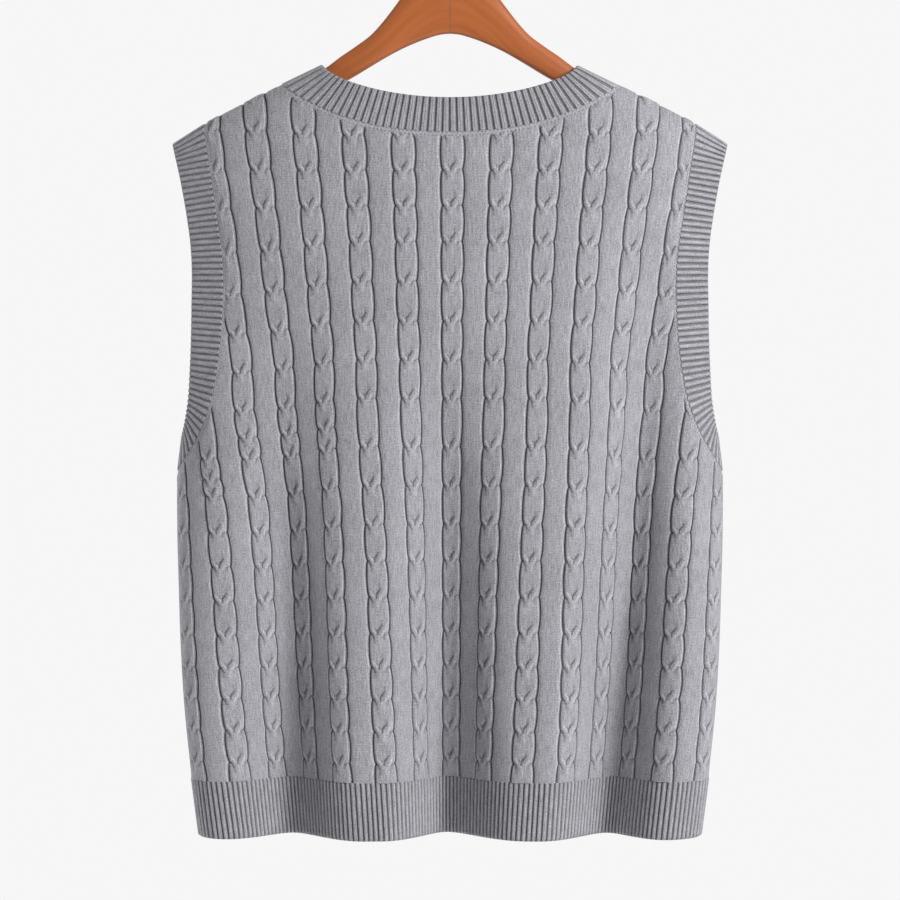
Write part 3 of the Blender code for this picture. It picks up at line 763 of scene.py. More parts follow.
    def strength(self, marks: Sequence[Mark], across: np.ndarray, along: np.ndarray) -> np.ndarray:
        """The strongest of some marks at places round a crossing.

        Args:
            marks: the strokes.
            across: distances from the cable's middle.
            along: distances below the crossing's course.

        Returns:
            Strengths from 0 to 1.
        """
        found = np.zeros(np.shape(across))
        for mark in marks:
            span = (mark.end[0] - mark.start[0], mark.end[1] - mark.start[1])
            length = span[0] ** 2 + span[1] ** 2
            side, down = across - mark.start[0], along - mark.start[1]
            share = np.clip((side * span[0] + down * span[1]) / length, 0.0, 1.0)
            away = np.hypot(side - share * span[0], down - share * span[1])
            found = np.maximum(found, mark.strength * np.exp(-((away / mark.width) ** 2)))
        return found


class Value:
    """A number in a shader, written with plain arithmetic."""

    def __init__(self, nodes: "Nodes", socket: bpy.types.NodeSocket) -> None:
        """Hold the socket that gives the number."""
        self.nodes = nodes
        self.socket = socket

    def step(self, operation: str, other: object = 0.0, clamp: bool = False) -> "Value":
        """One arithmetic node with this number as its first input."""
        return self.nodes.math(operation, self, other, clamp)

    def __add__(self, other: object) -> "Value":
        """Sum."""
        return self.step("ADD", other)

    def __sub__(self, other: object) -> "Value":
        """Difference."""
        return self.step("SUBTRACT", other)

    def __radd__(self, other: float) -> "Value":
        """Sum with a plain number."""
        return self.step("ADD", other)

    def __rsub__(self, other: float) -> "Value":
        """Difference from a plain number."""
        return self.nodes.math("SUBTRACT", other, self)

    def __mul__(self, other: object) -> "Value":
        """Product."""
        return self.step("MULTIPLY", other)

    def __pow__(self, power: object) -> "Value":
        """Power of this number, or of zero where it is negative."""
        return self.step("MAXIMUM", 0.0).step("POWER", power)

    def __abs__(self) -> "Value":
        """Size without the sign."""
        return self.step("ABSOLUTE")

    def fraction(self) -> "Value":
        """What is left of the number over the whole one below it."""
        return self.step("FRACT")

    def most(self, other: object) -> "Value":
        """The larger of two numbers."""
        return self.step("MAXIMUM", other)

    def clamped(self) -> "Value":
        """The number kept from 0 to 1."""
        return self.step("ADD", 0.0, clamp=True)

    def bell(self, width: float) -> "Value":
        """1 at zero, falling away smoothly over a width."""
        scaled = self * (1.0 / width)
        return (scaled * scaled * -1.0).step("EXPONENT")

    def shelf(self, width: float) -> "Value":
        """Like a bell with a flatter top and steeper flanks.

        Args:
            width: where it has fallen by two thirds.

        Returns:
            The number, from 0 to 1.
        """
        scaled = self * (1.0 / width)
        squared = scaled * scaled
        return (squared * squared * -1.0).step("EXPONENT")


class Nodes:
    """Short hand for a material's shader nodes."""

    def __init__(self, name: str) -> None:
        """Make a material with an empty principled shader.

        Args:
            name: the material's name.
        """
        self.material = bpy.data.materials.new(name)
        self.material.use_nodes = True
        self.tree = self.material.node_tree
        self.shader = self.tree.nodes["Principled BSDF"]

    def set(self, socket: bpy.types.NodeSocket, value: object) -> None:
        """Link a socket to a value, or store a plain one.

        Args:
            socket: the input.
            value: a number, a colour or where one comes from.
        """
        if isinstance(value, Value):
            value = value.socket
        if isinstance(value, bpy.types.NodeSocket):
            self.tree.links.new(value, socket)
        else:
            socket.default_value = value

    def finish(self, **values: object) -> bpy.types.Material:
        """Set the shader's named inputs, with _ for a space.

        Args:
            values: what each input gets.

        Returns:
            The material.
        """
        for name, value in values.items():
            self.set(self.shader.inputs[name.replace("_", " ")], value)
        return self.material

    def math(self, operation: str, first: object, second: object = 0.0, clamp: bool = False) -> Value:
        """One arithmetic node.

        Args:
            operation: the node's operation.
            first: first input.
            second: second input.
            clamp: whether the result stays from 0 to 1.

        Returns:
            The result.
        """
        node = self.tree.nodes.new("ShaderNodeMath")
        node.operation = operation
        node.use_clamp = clamp
        for socket, value in zip(node.inputs, (first, second)):
            self.set(socket, value)
        return Value(self, node.outputs[0])

    def uv(self, name: str) -> tuple[Value, Value]:
        """The two numbers that a named UV map holds.

        Args:
            name: the map's name.

        Returns:
            Both numbers.
        """
        source = self.tree.nodes.new("ShaderNodeUVMap")
        source.uv_map = name
        split = self.tree.nodes.new("ShaderNodeSeparateXYZ")
        self.set(split.inputs[0], source.outputs[0])
        return Value(self, split.outputs[0]), Value(self, split.outputs[1])

    def place(self, x: object, y: object, z: object = 0.0) -> bpy.types.NodeSocket:
        """A vector from three numbers.

        Args:
            x: first number.
            y: second number.
            z: third number.

        Returns:
            The vector.
        """
        node = self.tree.nodes.new("ShaderNodeCombineXYZ")
        for socket, value in zip(node.inputs, (x, y, z)):
            self.set(socket, value)
        return node.outputs[0]

    def object_place(self) -> bpy.types.NodeSocket:
        """The place in the object's own space."""
        return self.tree.nodes.new("ShaderNodeTexCoord").outputs["Object"]

    def noise(self, where: object, scale: float, detail: float = 2.0, roughness: float = 0.5) -> Value:
        """Soft noise from 0 to 1.

        Args:
            where: the place that is read.
            scale: lumps in one unit.
            detail: finer layers.
            roughness: weight of the finer layers.

        Returns:
            The noise.
        """
        node = self.tree.nodes.new("ShaderNodeTexNoise")
        node.inputs["Scale"].default_value = scale
        node.inputs["Detail"].default_value = detail
        node.inputs["Roughness"].default_value = roughness
        self.set(node.inputs["Vector"], where)
        return Value(self, node.outputs["Fac"])

    def spread(
        self, value: object, low: float, high: float, to_low: float = 0.0, to_high: float = 1.0
    ) -> Value:
        """Map a range onto another one, kept inside it.

        Args:
            value: the number.
            low: the range's start.
            high: the range's end.
            to_low: what the start becomes.
            to_high: what the end becomes.

        Returns:
            The new number.
        """
        node = self.tree.nodes.new("ShaderNodeMapRange")
        for socket, number in zip(node.inputs, (value, low, high, to_low, to_high)):
            self.set(socket, number)
        return Value(self, node.outputs[0])

    def blend(self, share: object, first: object, second: object) -> bpy.types.NodeSocket:
        """Mix two colours."""
        return self.mix("MIX", share, first, second)

    def shaded(self, colour: object, shade: Value) -> bpy.types.NodeSocket:
        """A colour made darker or lighter by a factor."""
        return self.mix("MULTIPLY", 1.0, colour, self.place(shade, shade, shade))

    def mix(self, kind: str, share: object, first: object, second: object) -> bpy.types.NodeSocket:
        """Join two colours in one of the mix node's ways.

        Args:
            kind: the node's way.
            share: weight of the second colour.
            first: first colour.
            second: second colour.

        Returns:
            The colour.
        """
        node = self.tree.nodes.new("ShaderNodeMix")
        node.data_type = "RGBA"
        node.blend_type = kind
        for index, value in ((0, share), (6, first), (7, second)):
            self.set(node.inputs[index], value)
        return node.outputs[2]

    def bump(
        self, height: Value, strength: float, distance: float, normal: Optional[bpy.types.NodeSocket] = None
    ) -> bpy.types.NodeSocket:
        """A bumped normal, over another one where given.

        Args:
            height: relief from 0 to 1.
            strength: share of the relief that shows.
            distance: height of the relief, in metres.
            normal: the normal below it.

        Returns:
            The normal.
        """
        node = self.tree.nodes.new("ShaderNodeBump")
        node.inputs["Strength"].default_value = strength
        node.inputs["Distance"].default_value = distance
        self.set(node.inputs["Height"], height)
        if normal is not None:
            self.set(node.inputs["Normal"], normal)
        return node.outputs[0]

    def mark(self, mark: Mark, across: Value, along: Value) -> Value:
        """How strongly a stroke shows at a place.

        Args:
            mark: the stroke.
            across: distance from the cable's middle.
            along: distance below the crossing.

        Returns:
            A strength from 0 to 1.
        """
        span = (mark.end[0] - mark.start[0], mark.end[1] - mark.start[1])
        length = span[0] ** 2 + span[1] ** 2
        side, down = across - mark.start[0], along - mark.start[1]
        share = (side * (span[0] / length) + down * (span[1] / length)).clamped()
        off, below = side - share * span[0], down - share * span[1]
        away = (off * off + below * below) * (-1.0 / mark.width**2)
        return away.step("EXPONENT") * mark.strength

    def marks(self, marks: Sequence[Mark], across: Value, along: Value) -> Value:
        """The strongest of some strokes at a place.

        Args:
            marks: the strokes.
            across: distance from the cable's middle.
            along: distance below the crossing.

        Returns:
            A strength from 0 to 1.
        """
        found = self.mark(marks[0], across, along)
        for mark in marks[1:]:
            found = found.most(self.mark(mark, across, along))
        return found


@dataclass(frozen=True)
class HeatherYarn:
    """Grey melange yarn in plain knit: rows of small V stitches with a soft nap, and painted shade between
    them.
    """

    name: str = "heather_yarn"
    dark: tuple[float, float, float] = (0.170, 0.170, 0.188)
    light: tuple[float, float, float] = (0.640, 0.640, 0.686)
    slant: float = 0.45
    leg_power: float = 0.6
    wave_share: float = 0.30
    fleck_layer: Layer = Layer(0.30, 0.70, 0.50)
    fibre_layer: Layer = Layer(0.28, 0.72, 0.16)
    streak_layer: Layer = Layer(0.32, 0.68, 0.25)
    cloud_layer: Layer = Layer(0.30, 0.70, 0.09)
    # Painted shade between the stitches' legs and a faint painted highlight on their tops.
    stitch_shade: tuple[float, float] = (0.80, 1.04)
    fuzz_height: float = 0.35
    lump_height: float = 0.5
    stitch_depth: float = 0.0005
    form_depth: float = 0.0006
    roughness: float = 0.95
    sheen: float = 0.12
    sheen_roughness: float = 0.5
    specular: float = 0.15

    def stitch(self, wale: Value, course: Value) -> Value:
        """Height of the V stitches, from 0 to 1.

        Args:
            wale: stitches counted across.
            course: stitches counted down.

        Returns:
            The height.
        """
        half = abs(wale.fraction() - 0.5)
        leg = (half * (2 * math.pi)).step("SINE")
        wave = ((course - half * (2 * self.slant)) * (2 * math.pi)).step("COSINE")
        return leg**self.leg_power * (wave * self.wave_share + (1 - self.wave_share))

    def tone(self, n: Nodes, wale: Value, course: Value) -> Value:
        """How light the yarn is, from 0 to 1: flecks, fibres, streaks along the wales and soft clouds.

        Args:
            n: the material's nodes.
            wale: stitches counted across.
            course: stitches counted down.

        Returns:
            The tone.
        """
        layers = (
            (self.fleck_layer, n.noise(n.place(wale * 2.3, course * 0.9), 1.0, 2.0, 0.6)),
            (self.fibre_layer, n.noise(n.object_place(), 1500.0, 2.0, 0.6)),
            (self.streak_layer, n.noise(n.place(wale * 1.7, course * 0.13), 1.0, 1.0)),
            (self.cloud_layer, n.noise(n.object_place(), 26.0, 2.0)),
        )
        parts = [n.spread(noise, layer.low, layer.high) * layer.share for layer, noise in layers]
        return (parts[0] + parts[1] + parts[2] + parts[3]).clamped()

    def cloth(self, n: Nodes, wale: Value, course: Value, shade: Value, form: Value) -> bpy.types.Material:
        """Finish the material.

        Args:
            n: the material's nodes.
            wale: stitches counted across.
            course: stitches counted down.
            shade: factor for the colour, which holds painted shade and painted highlights.
            form: height of the pattern that the knit forms, from 0 to 1.

        Returns:
            The material.
        """
        stitch = self.stitch(wale, course)
        colour = n.blend(self.tone(n, wale, course), (*self.dark, 1.0), (*self.light, 1.0))
        # Painted shade: the stitches' low parts are darkened and their tops slightly lightened.
        colour = n.shaded(colour, shade * n.spread(stitch, 0.0, 1.0, *self.stitch_shade))
        fuzz = n.noise(n.object_place(), 2600.0, 2.0, 0.7)
        lumps = n.noise(n.place(wale, course), 0.8, 2.0)
        height = stitch + fuzz * self.fuzz_height + lumps * self.lump_height
        fine = n.bump(height, 0.8, self.stitch_depth)
        return n.finish(
            Base_Color=colour,
            Roughness=self.roughness,
            Normal=n.bump(form, 1.0, self.form_depth, fine),
            Sheen_Weight=self.sheen,
            Sheen_Roughness=self.sheen_roughness,
            Specular_IOR_Level=self.specular,
        )


@dataclass(frozen=True)
class CableYarn(HeatherYarn):
    """The yarn knitted in cables, with channels, creases and a chain of stitches beside the seams, and with
    painted shade in the channels, creases and holes and painted highlights on the edges and strands.
    """

    name: str = "cable_yarn"
    knit: CableKnit = field(default_factory=CableKnit)
    # Painted shade in the left and right channels; the right ones get more, since the key light from the
    # right fills them.
    channel_shade: tuple[float, float] = (0.72, 0.80)
    # Painted highlights on the cables' edges that face the key light.
    edge_highlight: tuple[float, float] = (0.38, 0.30)
    # Painted shade in the creases round each crossing.
    crease_shade: float = 0.62
    # Painted highlights along the strands that cross over.
    strand_highlight: float = 0.36
    # Painted shade in the small holes of the chain beside the seams.
    dot_shade: float = 0.50
    dot_rate: float = 0.7
    dot_rows: tuple[DotRow, DotRow] = (
        DotRow(0.0, 0.26, 0.0006, 0.0006),
        DotRow(0.5, 0.22, 0.0032, 0.0007),
    )
    chain_light: float = 0.13

    def material(self) -> bpy.types.Material:
        """The yarn as a node material that reads the UV maps gauge, twist, lay and seam.

        Returns:
            The material.
        """
        n, k = Nodes(self.name), self.knit
        wale, course = n.uv("gauge")
        cables, phase = n.uv("twist")
        gap = n.uv("lay")[0]
        run, from_seam = n.uv("seam")
        across = ((cables + 0.5).fraction() - 0.5) * k.pitch
        along = ((phase + 0.5).fraction() - 0.5) * gap
        swell = abs((phase * math.pi).step("SINE"))
        halves = [
            swell**power * (rise * k.pitch) + low * k.pitch for low, rise, power in k.channel_table()
        ]
        left_side = across.step("LESS_THAN", 0.0)
        half = halves[1] + (halves[0] - halves[1]) * left_side
        channel = (abs(across) - half).bell(k.groove_width)
        # Painted shade: the channels' colour is darkened along thin lines.
        left_shade, right_shade = self.channel_shade
        channel_painted_shade = channel * (left_side * (left_shade - right_shade) + right_shade)
        # Painted highlights: thin light lines beside the channels, where the edges face the key light.
        left_edge_highlight = (across + halves[0] + k.edge_line).bell(k.edge_width) * self.edge_highlight[0]
        right_edge_highlight = (across - halves[1] + k.edge_line).bell(k.edge_width) * self.edge_highlight[1]
        knitted = n.spread(from_seam, k.chain_height - k.chain_blend, k.chain_height)
        crease = n.marks(k.creases, across, along)
        strand = n.marks(k.strands, across, along)
        # Painted shade: the channels and creases, darkened in colour.
        painted_shade = channel_painted_shade.most(crease * self.crease_shade) * knitted
        # Painted highlights: the edge lines and the strands, lightened in colour.
        light = left_edge_highlight.most(right_edge_highlight).most(strand * self.strand_highlight)
        shade = (1.0 - painted_shade) * (light * knitted + 1.0)
        # Painted shade in the chain's holes.
        chain = 1.0 - self.dots(run, from_seam) * self.dot_shade
        shade = shade * chain * (1.0 + (1.0 - knitted) * self.chain_light)
        form = 1.0 - channel.most(crease) * knitted
        return self.cloth(n, wale, course, shade, form)

    def dots(self, run: Value, from_seam: Value) -> Value:
        """Two staggered rows of small holes in the chain beside a seam, with painted shade in them.

        Args:
            run: stitches along the seam.
            from_seam: distance from the seam.

        Returns:
            How strongly a hole's painted shade shows.
        """
        holes = [
            ((run * self.dot_rate + row.shift).fraction() - 0.5).bell(row.length)
            * (from_seam - row.away).bell(row.width)
            for row in self.dot_rows
        ]
        return holes[0].most(holes[1])


@dataclass(frozen=True)
class RibYarn(HeatherYarn):
    """The yarn knitted in ribs, with painted shade in the grooves and painted highlights along the wales."""

    style: RibStyle = RibStyle.OPEN_RIB
    # Painted shade in the grooves.
    groove_shade: float = 0.58
    # Painted shade in the dips between the wales.
    dip_shade: float = 0.12
    # Painted highlights along the wales.
    wale_highlight: float = 0.22
    # Painted shade at both ends of the grooves, by the seam and the free edge.
    end_shade: float = 0.25
    end_length: float = 0.0012
    wale_width: float = 0.055
    dip_width: float = 0.05
    form_depth: float = 0.0004

    def material(self) -> bpy.types.Material:
        """The yarn as a node material that reads the UV maps gauge, rib and ends.

        Returns:
            The material.
        """
        n, shape = Nodes(self.name), self.style.value
        wale, course = n.uv("gauge")
        repeat = n.uv("rib")[0]
        from_seam, from_edge = n.uv("ends")
        # Painted shade darkens the grooves, and painted highlights brighten the wales.
        groove = ((repeat - shape.groove_place + 0.5).fraction() - 0.5).shelf(shape.groove_half)
        highlight_lines = self.lines(repeat, shape.wales, self.wale_width)
        shade = (1.0 - groove * self.groove_shade) * (highlight_lines * self.wale_highlight + 1.0)
        # Painted shade in the dips.
        if shape.dips:
            shade = shade * (1.0 - self.lines(repeat, shape.dips, self.dip_width) * self.dip_shade)
        # Painted shade: the grooves darken more at both ends of the band.
        ends = from_seam.bell(self.end_length).most(from_edge.bell(self.end_length))
        shade = shade * (1.0 - ends * groove * self.end_shade)
        return self.cloth(n, wale, course, shade, 1.0 - groove)

    def lines(self, repeat: Value, places: Sequence[float], width: float) -> Value:
        """Narrow lines at some places of every repeat.

        Args:
            repeat: repeats along the band.
            places: places of the lines in a repeat.
            width: their half width.

        Returns:
            How strongly a line shows.
        """
        found = ((repeat - places[0] + 0.5).fraction() - 0.5).bell(width)
        for place in places[1:]:
            found = found.most(((repeat - place + 0.5).fraction() - 0.5).bell(width))
        return found


@dataclass(frozen=True)
class StainedWood:
    """Reddish-brown stained wood under a satin varnish, with its grain along the arm."""

    name: str = "stained_wood"
    dark: tuple[float, float, float] = (0.365, 0.095, 0.022)
    light: tuple[float, float, float] = (0.520, 0.143, 0.032)
    joint_shade: float = 0.45
    joint_width: float = 0.0005
    roughness: tuple[float, float] = (0.29, 0.42)
    varnish: float = 0.35
    varnish_roughness: float = 0.18

    def material(self) -> bpy.types.Material:
        """The wood as a node material that reads the UV map grain.

        Returns:
            The material.
        """
        n = Nodes(self.name)
        along, over = n.uv("grain")
        broad = n.noise(n.place(along * 9.0, over * 160.0), 1.0, 3.0, 0.55)
        fine = n.noise(n.place(along * 60.0, over * 1500.0), 1.0, 2.0, 0.6)
        tone = n.spread(broad * 0.7 + fine * 0.3, 0.28, 0.72)
        colour = n.blend(tone, (*self.dark, 1.0), (*self.light, 1.0))
        joint = 1.0 - (abs(along) - 1.0).bell(self.joint_width) * self.joint_shade
        return n.finish(
            Base_Color=n.shaded(colour, n.spread(fine, 0.62, 0.75, 1.0, 0.86) * joint),
            Roughness=n.spread(broad, 0.3, 0.7, *self.roughness),
            Normal=n.bump(fine, 0.25, 0.0002),
            Coat_Weight=self.varnish,
            Coat_Roughness=self.varnish_roughness,
        )


@dataclass(frozen=True)
class PolishedSteel:
    """Bright drawn wire with faint lengthwise scratches."""

    name: str = "polished_steel"
    colour: tuple[float, float, float] = (0.72, 0.72, 0.73)
    worn: tuple[float, float, float] = (0.60, 0.60, 0.61)
    roughness: tuple[float, float] = (0.14, 0.27)

    def material(self) -> bpy.types.Material:
        """The wire as a node material.

        Returns:
            The material.
        """
        n = Nodes(self.name)
        haze = n.noise(n.object_place(), 420.0, 3.0, 0.6)
        tint = n.blend(haze, (*self.colour, 1.0), (*self.worn, 1.0))
        rough = n.spread(haze, 0.3, 0.7, *self.roughness)
        return n.finish(Base_Color=tint, Metallic=1.0, Roughness=rough, Normal=n.bump(haze, 0.1, 0.0001))


def new_mesh_object(
    name: str,
    points: np.ndarray,
    faces: list[list[int]],
    material: bpy.types.Material,
    uv_maps: Optional[dict[str, np.ndarray]] = None,
    sharp_angle: float = 75.0,
) -> bpy.types.Object:
    """Link a smooth-shaded mesh object that rides on the body.

    Args:
        name: the piece's name.
        points: vertex places.
        faces: vertex numbers of each face.
        material: its finish.
        uv_maps: two numbers for each vertex, by UV map name.
        sharp_angle: edges that turn by more degrees than this stay sharp.

    Returns:
        The new object.
    """
    mesh = bpy.data.meshes.new(name)
    mesh.from_pydata(points.tolist(), [], faces)
    mesh.validate()
    corners = np.empty(len(mesh.loops), np.int32)
    mesh.loops.foreach_get("vertex_index", corners)
    for label, values in (uv_maps or {}).items():
        layer = mesh.uv_layers.new(name=label)
        layer.data.foreach_set("uv", np.asarray(values, np.float32)[corners].ravel())
    mesh.shade_smooth()
    mesh.set_sharp_from_angle(angle=math.radians(sharp_angle))
    mesh.materials.append(material)
    made = bpy.data.objects.new(name, mesh)
    bpy.context.scene.collection.objects.link(made)
    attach(made, BODY)
    return made


def inside(points: np.ndarray, start: np.ndarray, end: np.ndarray) -> np.ndarray:
    """Whether points lie inside closed loops of edges.

    Args:
        points: flat places, two numbers each.
        start: first ends of the edges.
        end: second ends of the edges.

    Returns:
        A flag for each point.
    """
    flags = np.zeros(len(points), bool)
    span = end - start
    fall = np.where(span[:, 1] == 0, 1e-12, span[:, 1])
    for first in range(0, len(points), POINTS_AT_ONCE):
        part = points[first : first + POINTS_AT_ONCE]
        crosses = (start[:, 1] > part[:, 1:]) != (end[:, 1] > part[:, 1:])
        at_x = start[:, 0] + span[:, 0] * (part[:, 1:] - start[:, 1]) / fall
        passed = (crosses & (part[:, :1] < at_x)).sum(axis=1)
        flags[first : first + POINTS_AT_ONCE] = passed % 2 == 1
    return flags


def distance(points: np.ndarray, start: np.ndarray, end: np.ndarray) -> np.ndarray:
    """How far points lie from the nearest of some edges.

    Args:
        points: flat places, two numbers each.
        start: first ends of the edges.
        end: second ends of the edges.

    Returns:
        A distance for each point.
    """
    found = np.zeros(len(points))
    span = end - start
    squares = np.maximum((span**2).sum(-1), 1e-12)
    for first in range(0, len(points), POINTS_AT_ONCE):
        part = points[first : first + POINTS_AT_ONCE]
        dx, dy = part[:, :1] - start[:, 0], part[:, 1:] - start[:, 1]
        share = np.clip((dx * span[:, 0] + dy * span[:, 1]) / squares, 0, 1)
        gap = (dx - share * span[:, 0]) ** 2 + (dy - share * span[:, 1]) ** 2
        found[first : first + POINTS_AT_ONCE] = np.sqrt(gap.min(axis=1))
    return found


def ring(count: int) -> np.ndarray:
    """Edges that join some points in a ring, each to the next."""
    numbers = np.arange(count)
    return np.stack([numbers, (numbers + 1) % count], axis=-1)


@dataclass
class Panel:
    """One knitted panel: an outer wall with its cables, a plain inner wall and the cut edges."""

    drape: Drape
    knit: CableKnit
    sheet: Sheet
    name: str
    node: str
    flat: tuple[float, float]
    flat_area: float
    neck_points: int = 170
    shoulder_points: int = 45
    armhole_steps: int = 220
    side_points: int = 100
    hem_points: int = 601
    seam_points: int = 121
    armhole_seam_steps: int = 48
    arm_chain: float = 1.5
    far_from_seam: float = 0.02
    plain_gap: float = 0.03
    lattice_margin: float = 0.0012
    neck_margin: float = 0.004
    shoulder_clear: float = 0.0055
    shoulder_inset: float = 0.0015
    shoulder_row_points: int = 44
    shoulder_rows: tuple[float, ...] = (0.0003, 0.0009, 0.0018, 0.0030, 0.0044)
    inner_spacing: float = 0.011
    inner_narrowing: float = 0.7
    inner_margin: float = 0.003
    inner_top: float = 0.03
    last_cable: int = 7
    top_course: float = -0.03
    past_hem: float = 0.012
    cable_columns: tuple[float, ...] = (0.79, 0.59, 0.39, 0.19)
    channel_steps: tuple[float, ...] = (0.0018, 0.0010, 0.0005, 0.0, -0.0005, -0.0010)
    strip_columns: tuple[float, ...] = (0.36, 0.50, 0.64)
    fine_rows: tuple[float, ...] = (
        -8.6, -7.2, -5.9, -4.7, -3.5, -2.3, -1.1, 0.0, 1.1, 2.3, 3.6, 5.2, 7.0,
    )
    row_step: float = 0.0044
    least_step: float = 0.0007

    def __post_init__(self) -> None:
        """Measure the cables over this sheet."""
        self.cable_map = CableMap(self.drape, self.sheet)

    def rows(self) -> np.ndarray:
        """Courses of the outer wall's rows, closer together round the crossings.

        Returns:
            The courses, from the top down.
        """
        found: list[float] = []
        rows = self.knit.crossings(self.knit.extras[0])
        for crossing, follow in zip(rows, rows[1:]):
            near = [crossing + MILLIMETRE * offset for offset in self.fine_rows]
            span = follow + MILLIMETRE * self.fine_rows[0] - near[-1]
            between = max(int(span / self.row_step), 0)
            found += near + list(near[-1] + span * np.arange(1, between + 1) / (between + 1))
        found.sort()
        kept = found[:1]
        for row in found[1:]:
            if row - kept[-1] > self.least_step:
                kept.append(row)
        lowest = self.drape.hem_seam + self.past_hem
        return np.array([row for row in kept if self.top_course < row < lowest])

    def lattice(self) -> tuple[np.ndarray, np.ndarray]:
        """Cable pitches and courses of the outer wall's rows and columns.

        Returns:
            Two arrays with one row for each course.
        """
        courses = self.rows()
        steps = np.array(self.channel_steps) / self.knit.pitch
        columns = []
        for cable in range(-self.last_cable, self.last_cable + 1):
            phase = self.knit.phase(np.full(len(courses), float(cable)), courses)[0]
            left, right = self.knit.channels(phase)
            columns += [cable - left + step for step in steps] + [cable + right - step for step in steps]
            columns += [cable - left * share for share in self.cable_columns]
            columns += [cable + right * share for share in self.cable_columns]
            columns.append(np.full(len(courses), float(cable)))
            if cable < self.last_cable:
                columns += [np.full(len(courses), cable + place) for place in self.strip_columns]
        u = np.sort(np.stack(columns, axis=1), axis=1)
        return u, np.broadcast_to(courses[:, None], u.shape)

    def outline(self) -> tuple[np.ndarray, np.ndarray]:
        """Turn angles and drops round the panel: neck, shoulder, armhole, side and hem.

        Returns:
            The turn angles and the drops.
        """
        d = self.drape
        neck_x = d.neck_seam_half * np.sin(np.radians(np.linspace(0.0, 90.0, self.neck_points)))
        arm_turns, arm_drops = d.armhole_line(ArmholeLine.SEAM, d.armhole_seam_drop, self.armhole_steps)
        arm_x = float(d.section("half_width", arm_drops[0]) * math.sin(arm_turns[0]))
        shoulder_x = np.linspace(d.neck_seam_half, arm_x, self.shoulder_points)[1:-1]
        side_drops = np.linspace(d.armhole_seam_drop, d.hem_seam, self.side_points)[1:]
        hem_cables = np.linspace(-SIDE_CABLES, SIDE_CABLES, self.hem_points)
        hem_turns = self.cable_map.turn_at(hem_cables, np.full(self.hem_points, d.hem_seam))
        neck_v, shoulder_v = d.neck_seam(self.sheet, neck_x), d.shoulder_drop(shoulder_x)
        half_turns = np.concatenate(
            [
                d.turn_of(neck_x, neck_v),
                d.turn_of(shoulder_x, shoulder_v),
                arm_turns,
                np.full(len(side_drops), math.pi / 2),
            ]
        )
        half_drops = np.concatenate([neck_v, shoulder_v, arm_drops, side_drops])
        turns = np.concatenate([half_turns, hem_turns[-2:0:-1], -half_turns[:0:-1]])
        drops = np.concatenate([half_drops, np.full(len(hem_turns) - 2, d.hem_seam), half_drops[:0:-1]])
        return turns, drops

    def near_shoulder(self) -> tuple[np.ndarray, np.ndarray]:
        """Cable pitches and drops of rows that follow the shoulder line just below it.

        Returns:
            The cable pitches and the drops.
        """
        d = self.drape
        turn = math.radians(d.armhole[0].seam_turn)
        arm_x = float(d.section("half_width", d.on_shoulder(turn)) * math.sin(turn))
        inset = self.shoulder_inset
        x = np.linspace(d.neck_seam_half + inset, arm_x - inset, self.shoulder_row_points)
        drops = np.concatenate([d.shoulder_drop(x) + below for below in self.shoulder_rows])
        x = np.tile(x, len(self.shoulder_rows))
        turns = d.turn_of(x, drops)
        cables = [self.cable_map.cables_at(side * turns, drops) for side in (1, -1)]
        return np.concatenate(cables), np.concatenate([drops, drops])

    def beside_seams(
        self, cables: np.ndarray, x: np.ndarray, drop: np.ndarray
    ) -> tuple[np.ndarray, np.ndarray]:
        """Where each place lies beside the neck seam or an armhole seam, whichever is nearer.

        Args:
            cables: cable pitches from the middle.
            x: distances from the middle.
            drop: drops below the neck point.

        Returns:
            Stitches along the seam, and the distance from it over the flat of the sheet.
        """
        d, knit = self.drape, self.knit
        angles = np.radians(np.linspace(-90.0, 90.0, self.seam_points))
        line_x = d.neck_seam_half * np.sin(angles)
        line = np.stack([line_x, d.neck_seam(self.sheet, line_x)], axis=-1)
        away = distance(np.stack([x, drop], axis=-1), line[:-1], line[1:])
        run = cables * knit.wales
        flat = self.laid_flat(cables, drop)
        turns, drops = d.armhole_line(ArmholeLine.SEAM, d.armhole_seam_drop, self.armhole_seam_steps)
        for side in (-1, 1):
            seam = self.laid_flat(self.cable_map.cables_at(side * turns, drops), drops)
            beside = distance(flat, seam[:-1], seam[1:]) * self.arm_chain
            run = np.where(beside < away, drop * knit.wales / knit.pitch, run)
            away = np.minimum(away, beside)
        return run, away

